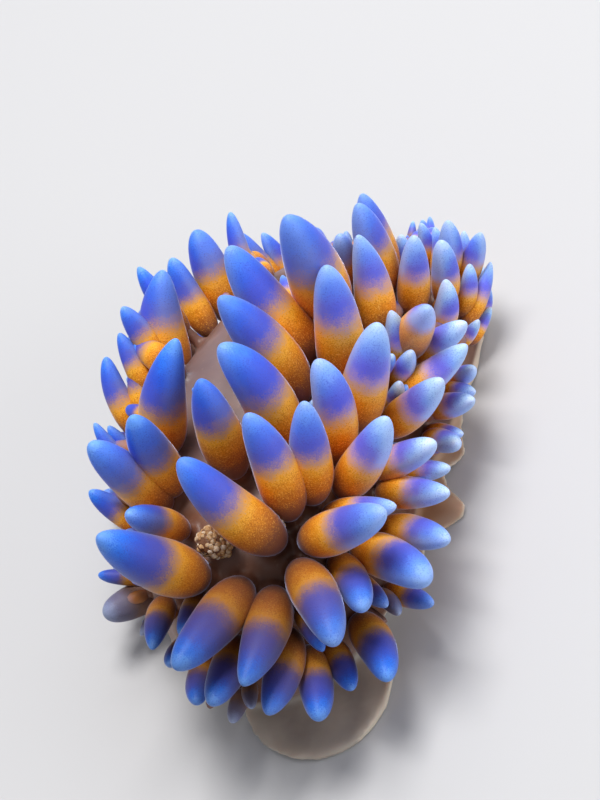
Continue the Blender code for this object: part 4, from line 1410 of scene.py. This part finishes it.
@dataclass
class Cerata(Piece):
    """One group of cerata, joined in one piece."""

    group: CerasGroup
    members: list[Ceras]
    form: CerasForm
    body: Body
    sight: Sight
    sides: int = 24
    rings: int = 28
    margin: float = 0.06
    # Painted light: cerata that show near this pixel get a high pale share and so the paler colours, small
    # ones more so.
    painted_light_pixel: tuple[float, float] = (422.0, 395.0)
    painted_light_reach: tuple[float, float] = (115.0, 150.0)
    # Painted shade: cerata that show near this pixel, on the brow, are darkened.
    painted_shade_pixel: tuple[float, float] = (225.0, 650.0)
    painted_shade_reach: tuple[float, float] = (170.0, 110.0)
    nearness_share: float = 0.6
    small_radius: float = 2.4 * MM
    small_boost: float = 0.8
    painted_light_spread: float = 0.08
    slide_spread: float = 0.04
    crown_late: float = 0.055

    def nearness(self, ceras: Ceras, centre: tuple[float, float], reach: tuple[float, float]) -> float:
        """Return how near a ceras shows to a pixel, from 0 to 1."""
        offset = self.sight.pixel_of(ceras.base.lerp(ceras.tip, self.nearness_share)) - Vector(centre)
        return math.exp(-(offset.x / reach[0]) ** 2 - (offset.y / reach[1]) ** 2)

    def build(self, material: bpy.types.Material) -> bpy.types.Object:
        """Model the group and dress it.

        Args:
            material: The finish.

        Returns:
            The piece.
        """
        shape = bmesh.new()
        chart = shape.loops.layers.uv.new("OFBake")
        span, face, pale, painted_shade, slide, clear = (
            shape.verts.layers.float.new(name)
            for name in ("span", "face", "pale", "painted_shade", "slide", "clear"))
        chance = random.Random(len(self.members))
        cells = math.ceil(math.sqrt(len(self.members)))
        for number, ceras in enumerate(self.members):
            corners = self.form.add(shape, ceras, self.sides, self.rings)
            column, row = number % cells, number // cells
            for loop in {loop for corner in corners for loop in corner.link_loops}:
                spot = loop[chart].uv
                spot.x = (column + self.margin + (1.0 - 2.0 * self.margin) * spot.x) / cells
                spot.y = (row + self.margin + (1.0 - 2.0 * self.margin) * spot.y) / cells
            way = (ceras.tip - ceras.base).normalized()
            # The outward face of a ceras; painted rim light lies on its sides, where this share is low.
            outward = ceras.normal + UP
            outward = (outward - way * outward.dot(way)).normalized()
            # Share of painted light, with a little random spread.
            small = 1.0 - min(1.0, ceras.radius / self.small_radius)
            painted_lightness = self.nearness(ceras, self.painted_light_pixel, self.painted_light_reach) * (1.0 + self.small_boost * small)
            painted_lightness += chance.uniform(-self.painted_light_spread, self.painted_light_spread)
            painted_shadiness = self.nearness(ceras, self.painted_shade_pixel, self.painted_shade_reach)
            late = ceras.late + (self.crown_late if self.group is CerasGroup.CROWN else 0.0)
            shift = chance.uniform(-self.slide_spread, self.slide_spread) - late
            for corner in corners:
                fraction = (corner.co - ceras.base).dot(way) / (ceras.tip - ceras.base).length
                aside = corner.co - self.form.axis(ceras, max(0.0, min(1.0, fraction)))
                corner[span] = fraction
                corner[face] = aside.dot(outward) / ceras.radius
                corner[pale] = max(0.0, min(1.0, painted_lightness))
                corner[painted_shade] = painted_shadiness
                corner[slide] = shift
                corner[clear] = ceras.clear
        bmesh.ops.translate(shape, verts=shape.verts, vec=Vector(self.body.place))
        return self.finish(self.group.value, shape, material, "cerata_skin", ())


@dataclass
class Skin(Piece):
    """The one skin of body, foot, lips and stalks."""

    body: Body
    foot: Foot
    form: CerasForm
    planting: Planting
    voxel: float = 0.36 * MM
    smoothing: int = 4
    low_heights: tuple[float, float] = (2.2 * MM, 1.3 * MM)
    brown_and_shade_reach: float = 4.2 * MM
    brown_and_shade_core: float = 0.4
    band_reaches: tuple[float, float] = (4.0 * MM, 0.8 * MM)
    band_share: float = 0.35
    line_reaches: tuple[float, float] = (0.5 * MM, 0.1 * MM)
    line_share: float = 0.65
    hump_reach: float = 7.0 * MM
    amber_share: float = 0.7
    amber_across: tuple[float, float] = (2.0 * MM, 6.0 * MM)
    amber_along: tuple[float, float] = (0.2, 0.3)
    mouth_height: float = 4.2 * MM
    mouth_sink: float = 1.2 * MM
    lips_size: tuple[float, float, float] = (4.2 * MM, 2.6 * MM, 2.3 * MM)
    lips_detail: tuple[int, int] = (40, 24)
    tentacle_along: float = 0.055
    tentacle_angle: float = math.radians(70.0)
    tentacle_length: float = 4.0 * MM
    tentacle_root: float = 1.5 * MM
    tentacle_radius: float = 1.1 * MM
    tentacle_widths: tuple[float, float] = (1.25, 0.5)
    tentacle_out: float = 0.9
    tentacle_down: float = 0.12
    tentacle_detail: tuple[int, int] = (20, 24)

    def lips(self) -> bmesh.types.BMesh:
        """Shape the lips.

        Returns:
            The closed mesh.
        """
        point, heading = self.body.midline(0.0)
        way = heading.to_track_quat("Y", "Z").to_matrix().to_4x4()
        centre = point + heading * self.mouth_sink + UP * self.mouth_height
        shape = bmesh.new()
        sides, rings = self.lips_detail
        bmesh.ops.create_uvsphere(shape, u_segments=sides, v_segments=rings, radius=1.0)
        place = Matrix.Translation(centre) @ way @ Matrix.Diagonal((*self.lips_size, 1.0))
        bmesh.ops.transform(shape, matrix=place, verts=shape.verts)
        return shape

    def tentacle(self, side: float) -> bmesh.types.BMesh:
        """Shape one short, blunt oral tentacle.

        Args:
            side: Positive on the left.

        Returns:
            The closed mesh.
        """
        point = self.body.point(self.tentacle_along, side * self.tentacle_angle)
        _, heading = self.body.midline(self.tentacle_along)
        way = heading.cross(UP) * (side * self.tentacle_out) - heading - UP * self.tentacle_down
        shape = bmesh.new()
        sides, rings = self.tentacle_detail
        bmesh.ops.create_uvsphere(shape, u_segments=sides, v_segments=rings, radius=1.0)
        widest, narrowing = self.tentacle_widths
        for corner in shape.verts:
            share = (corner.co.z + 1.0) / 2.0
            width = self.tentacle_radius * (widest - narrowing * share)
            height = (self.tentacle_length + self.tentacle_root) * share - self.tentacle_root
            corner.co = Vector((corner.co.x * width, corner.co.y * width, height))
        bmesh.ops.transform(shape, matrix=stand(point, way.normalized()), verts=shape.verts)
        return shape

    def blend(self) -> bmesh.types.BMesh:
        """Melt the body, foot, lips, tentacles and stalks into one closed skin.

        Returns:
            The mesh.
        """
        melted = bmesh.new()
        parts = [self.body.dome(), self.foot.sole(self.body), self.lips(), self.tentacle(1.0),
                 self.tentacle(-1.0)]
        for part in parts:
            loose = bpy.data.meshes.new("part")
            bmesh.ops.recalc_face_normals(part, faces=part.faces)
            part.to_mesh(loose)
            part.free()
            melted.from_mesh(loose)
            bpy.data.meshes.remove(loose)
        for group in self.planting.groups.values():
            for ceras in group:
                self.form.add_stalk(melted, ceras)
        mesh = bpy.data.meshes.new("melted")
        melted.to_mesh(mesh)
        melted.free()
        carrier = bpy.data.objects.new("melted", mesh)
        bpy.context.scene.collection.objects.link(carrier)
        remesh = carrier.modifiers.new("remesh", "REMESH")
        remesh.mode = "VOXEL"
        remesh.voxel_size = self.voxel
        graph = bpy.context.evaluated_depsgraph_get()
        whole = bpy.data.meshes.new_from_object(carrier.evaluated_get(graph), depsgraph=graph)
        bpy.data.objects.remove(carrier, do_unlink=True)
        shape = bmesh.new()
        shape.from_mesh(whole)
        bpy.data.meshes.remove(whole)
        for _ in range(self.smoothing):
            bmesh.ops.smooth_vert(shape, verts=shape.verts, factor=0.5, use_axis_x=True, use_axis_y=True,
                                  use_axis_z=True)
        return shape

    def shade(self, points: list[Vector]) -> dict[str, list[float]]:
        """Work out the values that the skin's finish reads.

        Args:
            points: The skin's corners, in the body's frame.

        Returns:
            One value for each corner, by attribute name.
        """
        roots = [ceras for group in self.planting.groups.values() for ceras in group]
        tree = KDTree(len(roots))
        for number, ceras in enumerate(roots):
            tree.insert(ceras.root, number)
        tree.balance()
        hump = self.body.hump_centre()
        values = {"foot": [], "rim": [], "brown_and_shade": [], "hump": [], "amber": []}
        for point in points:
            along, across = self.body.locate(point)
            edge = self.foot.half_width(self.body, max(along, self.foot.front(self.body)), across)
            low = smoothstep(*self.low_heights, point.z)
            band, line = (smoothstep(edge - outer, edge - inner, abs(across))
                          for outer, inner in (self.band_reaches, self.line_reaches))
            # Brown and painted shade on the skin near the cerata's roots.
            brown_and_shade = smoothstep(self.brown_and_shade_reach, self.brown_and_shade_core * self.brown_and_shade_reach, tree.find(point)[2])
            values["foot"].append(low)
            values["rim"].append(low * (self.band_share * band + self.line_share * line))
            values["brown_and_shade"].append(brown_and_shade * (1.0 - low))
            values["hump"].append(math.exp(-((point - hump).length / self.hump_reach) ** 2))
            values["amber"].append(self.amber_share * low * smoothstep(*self.amber_across, across)
                                   * smoothstep(*self.amber_along, along))
        return values

    def build(self, material: bpy.types.Material) -> bpy.types.Object:
        """Model the skin and dress it.

        Args:
            material: The finish.

        Returns:
            The piece.
        """
        shape = self.blend()
        points = [corner.co.copy() for corner in shape.verts]
        bmesh.ops.translate(shape, verts=shape.verts, vec=Vector(self.body.place))
        nodes = self.flesh_nodes + ("foot", "oral_tentacle_left", "oral_tentacle_right")
        piece = self.finish("skin", shape, material, "bare_skin", nodes)
        self.write(piece, self.shade(points))
        return piece


@dataclass
class Rhinophore(Piece):
    """A short contracted club with leaves and grains, on the front of the back."""

    body: Body
    side: float
    along: float = 0.155
    angle: float = math.radians(6.5)
    shift: float = math.radians(5.0)
    height: float = 4.4 * MM
    radius: float = 1.75 * MM
    leaves: int = 7
    sink: float = 1.0 * MM
    spread: float = 0.35
    stem: tuple[float, float] = (0.55, 0.2)
    leaves_start: float = 0.24
    leaves_span: float = 0.7
    leaf_outline: tuple = ((0.84, 0.0), (0.97, 0.035), (0.93, 0.07))
    crown: tuple[float, float] = (0.22, 0.985)
    swell_middle: float = 0.42
    swell_slope: float = 1.7
    least_swell: float = 0.05
    sides: int = 48
    grains: int = 260
    grain_heights: tuple[float, float] = (0.26, 0.97)
    grain_reaches: tuple[float, float] = (0.84, 0.96)
    grain_radii: tuple[float, float] = (0.14, 0.4)
    grain_tones: tuple[float, float] = (0.3, 1.0)
    grain_seed: int = 3

    def swell(self, height: float, least: float) -> float:
        """Return how wide the club swells at a share of its height, and at least a least share."""
        return math.sqrt(max(least, 1.0 - (self.swell_slope * (height - self.swell_middle)) ** 2))

    def outline(self) -> list[tuple[float, float]]:
        """Draw the outline that the club is turned from.

        Returns:
            Pairs of radius and height.
        """
        stem, stem_top = self.stem[0] * self.radius, self.stem[1] * self.height
        pairs = [(0.0, -self.sink), (stem, -self.sink), (stem, stem_top)]
        for leaf in range(self.leaves):
            low = self.leaves_start + self.leaves_span * leaf / self.leaves
            pairs += [(reach * self.radius * self.swell(low, 0.0), (low + rise) * self.height)
                      for reach, rise in self.leaf_outline]
        crown, crown_height = self.crown
        return pairs + [(crown * self.radius, crown_height * self.height), (0.0, self.height)]

    def build(self, material: bpy.types.Material) -> bpy.types.Object:
        """Model the club and dress it.

        Args:
            material: The finish.

        Returns:
            The piece.
        """
        shape = bmesh.new()
        corners = [shape.verts.new((radius, 0.0, height)) for radius, height in self.outline()]
        edges = [shape.edges.new(pair) for pair in zip(corners, corners[1:])]
        bmesh.ops.spin(shape, geom=corners + edges, cent=(0.0, 0.0, 0.0), axis=(0.0, 0.0, 1.0),
                       angle=2.0 * math.pi, steps=self.sides, use_merge=True)
        bmesh.ops.remove_doubles(shape, verts=shape.verts, dist=WELD)
        chance = random.Random(self.grain_seed)
        grit = shape.verts.layers.float.new("grit")
        for _ in range(self.grains):
            low = chance.uniform(*self.grain_heights)
            turn = chance.uniform(0.0, 2.0 * math.pi)
            reach = chance.uniform(*self.grain_reaches) * self.radius * self.swell(low, self.least_swell)
            spot = Vector((reach * math.cos(turn), reach * math.sin(turn), low * self.height))
            radius = chance.uniform(*self.grain_radii) * MM
            made = bmesh.ops.create_icosphere(shape, subdivisions=2, radius=radius,
                                              matrix=Matrix.Translation(spot))
            tone = chance.uniform(*self.grain_tones)
            for corner in made["verts"]:
                corner[grit] = tone
        turn = self.side * self.angle + self.shift
        point = self.body.point(self.along, turn)
        _, heading = self.body.midline(self.along)
        aside = heading.cross(UP) * (self.side * self.spread)
        way = (self.body.normal(self.along, turn) + aside).normalized()
        place = stand(point + Vector(self.body.place), way)
        bmesh.ops.transform(shape, matrix=place, verts=shape.verts)
        bmesh.ops.recalc_face_normals(shape, faces=shape.faces)
        word = "left" if self.side > 0.0 else "right"
        nodes = ("rhinophore_" + word,)
        return self.finish("rhinophore_club_" + word, shape, material, "rhinophore_skin", nodes)


class Lamp(NamedTuple):
    """One soft light: its place to the right, up and back of the animal, its side, power and colour."""

    name: str
    offset: tuple[float, float, float]
    size: float
    power: float
    tint: Rgb


@dataclass
class Studio:
    """The floor, the light and the camera."""

    body: Body
    sight: Sight
    floor_size: float = 4.0
    focus: tuple[float, float, float] = (0.0, 0.0, 12.0 * MM)
    least_height: float = 80.0 * MM
    clip: tuple[float, float] = (0.01, 20.0)
    lamps: tuple[Lamp, ...] = (
        Lamp("key_light", (-0.16, 0.40, 0.40), 0.24, 3.4, (1.0, 0.98, 0.96)),
        Lamp("fill_light", (0.42, 0.10, 0.35), 0.40, 1.0, (0.94, 0.97, 1.0)),
        Lamp("back_light", (0.05, 0.55, -0.05), 0.30, 0.8, (0.9, 0.95, 1.0)))
    air_colour: tuple[float, float, float, float] = (0.93, 0.95, 1.0, 1.0)
    air_strength: float = 0.4

    def lay_floor(self, material: bpy.types.Material) -> None:
        """Lay the floor under the animal.

        Args:
            material: The floor's finish.
        """
        shape = bmesh.new()
        bmesh.ops.create_grid(shape, x_segments=2, y_segments=2, size=self.floor_size / 2.0)
        mesh = bpy.data.meshes.new("floor")
        shape.to_mesh(mesh)
        shape.free()
        mesh.materials.append(material)
        floor = bpy.data.objects.new("floor", mesh)
        bpy.context.scene.collection.objects.link(floor)

    def place_camera(self) -> None:
        """Set the camera on the line of sight."""
        right, up, back = self.sight.axes()
        lens = bpy.data.cameras.new("camera")
        camera = bpy.data.objects.new("camera", lens)
        bpy.context.scene.collection.objects.link(camera)
        turn = Matrix((right, up, back)).transposed().to_4x4()
        turn.translation = back * self.sight.distance + Vector(self.body.place)
        camera.matrix_world = turn
        width, height = FRAME_PIXELS
        lens.sensor_fit = "VERTICAL"
        lens.sensor_height = self.sight.sensor
        lens.lens = self.sight.pixels_per_metre * self.sight.distance * self.sight.sensor / height
        lens.shift_x = (width / 2.0 - self.sight.centre_pixel[0]) / height
        lens.shift_y = (self.sight.centre_pixel[1] - height / 2.0) / height
        lens.clip_start, lens.clip_end = self.clip
        bpy.context.scene.camera = camera

    def hang(self, lamp: Lamp) -> None:
        """Hang one soft light.

        Args:
            lamp: The light.
        """
        centre = Vector(self.focus)
        spot = centre + Matrix(self.sight.axes()).transposed() @ Vector(lamp.offset)
        spot.z = max(spot.z, self.least_height)
        light = bpy.data.lights.new(lamp.name, "AREA")
        light.size = lamp.size
        light.energy = lamp.power
        light.color = lamp.tint
        item = bpy.data.objects.new(lamp.name, light)
        bpy.context.scene.collection.objects.link(item)
        turn = (spot - centre).to_track_quat("Z", "Y").to_matrix().to_4x4()
        turn.translation = spot
        item.matrix_world = turn

    def build(self) -> None:
        """Lay the floor, hang the lights and set the camera."""
        self.lay_floor(FloorFinish().build())
        self.place_camera()
        for lamp in self.lamps:
            self.hang(lamp)
        world = bpy.data.worlds.new("studio_air")
        world.use_nodes = True
        backdrop = world.node_tree.nodes["Background"]
        backdrop.inputs["Color"].default_value = self.air_colour
        backdrop.inputs["Strength"].default_value = self.air_strength
        bpy.context.scene.world = world
        bpy.context.scene.view_settings.view_transform = "Standard"


def main() -> None:
    """Build the animal and its studio."""
    logging.basicConfig(level=logging.INFO, format="%(message)s")
    body, foot, form, sight = Body(), Foot(), CerasForm(), Sight()
    Studio(body, sight).build()
    planting = Planting(body, form, sight)
    for group, members in planting.groups.items():
        LOG.info("%s: %d cerata", group.value, len(members))
    Skin(body, foot, form, planting).build(SkinFinish().build())
    flesh = CerasFinish().build()
    for group, members in planting.groups.items():
        if group is CerasGroup.YOUNG:
            Cerata(group, members, form, body, sight, sides=12, rings=14).build(YOUNG_FINISH.build())
        else:
            Cerata(group, members, form, body, sight).build(flesh)
    grains = CLUB_FINISH.build()
    for side in (1.0, -1.0):
        Rhinophore(body, side).build(grains)


if __name__ == "__main__":
    main()
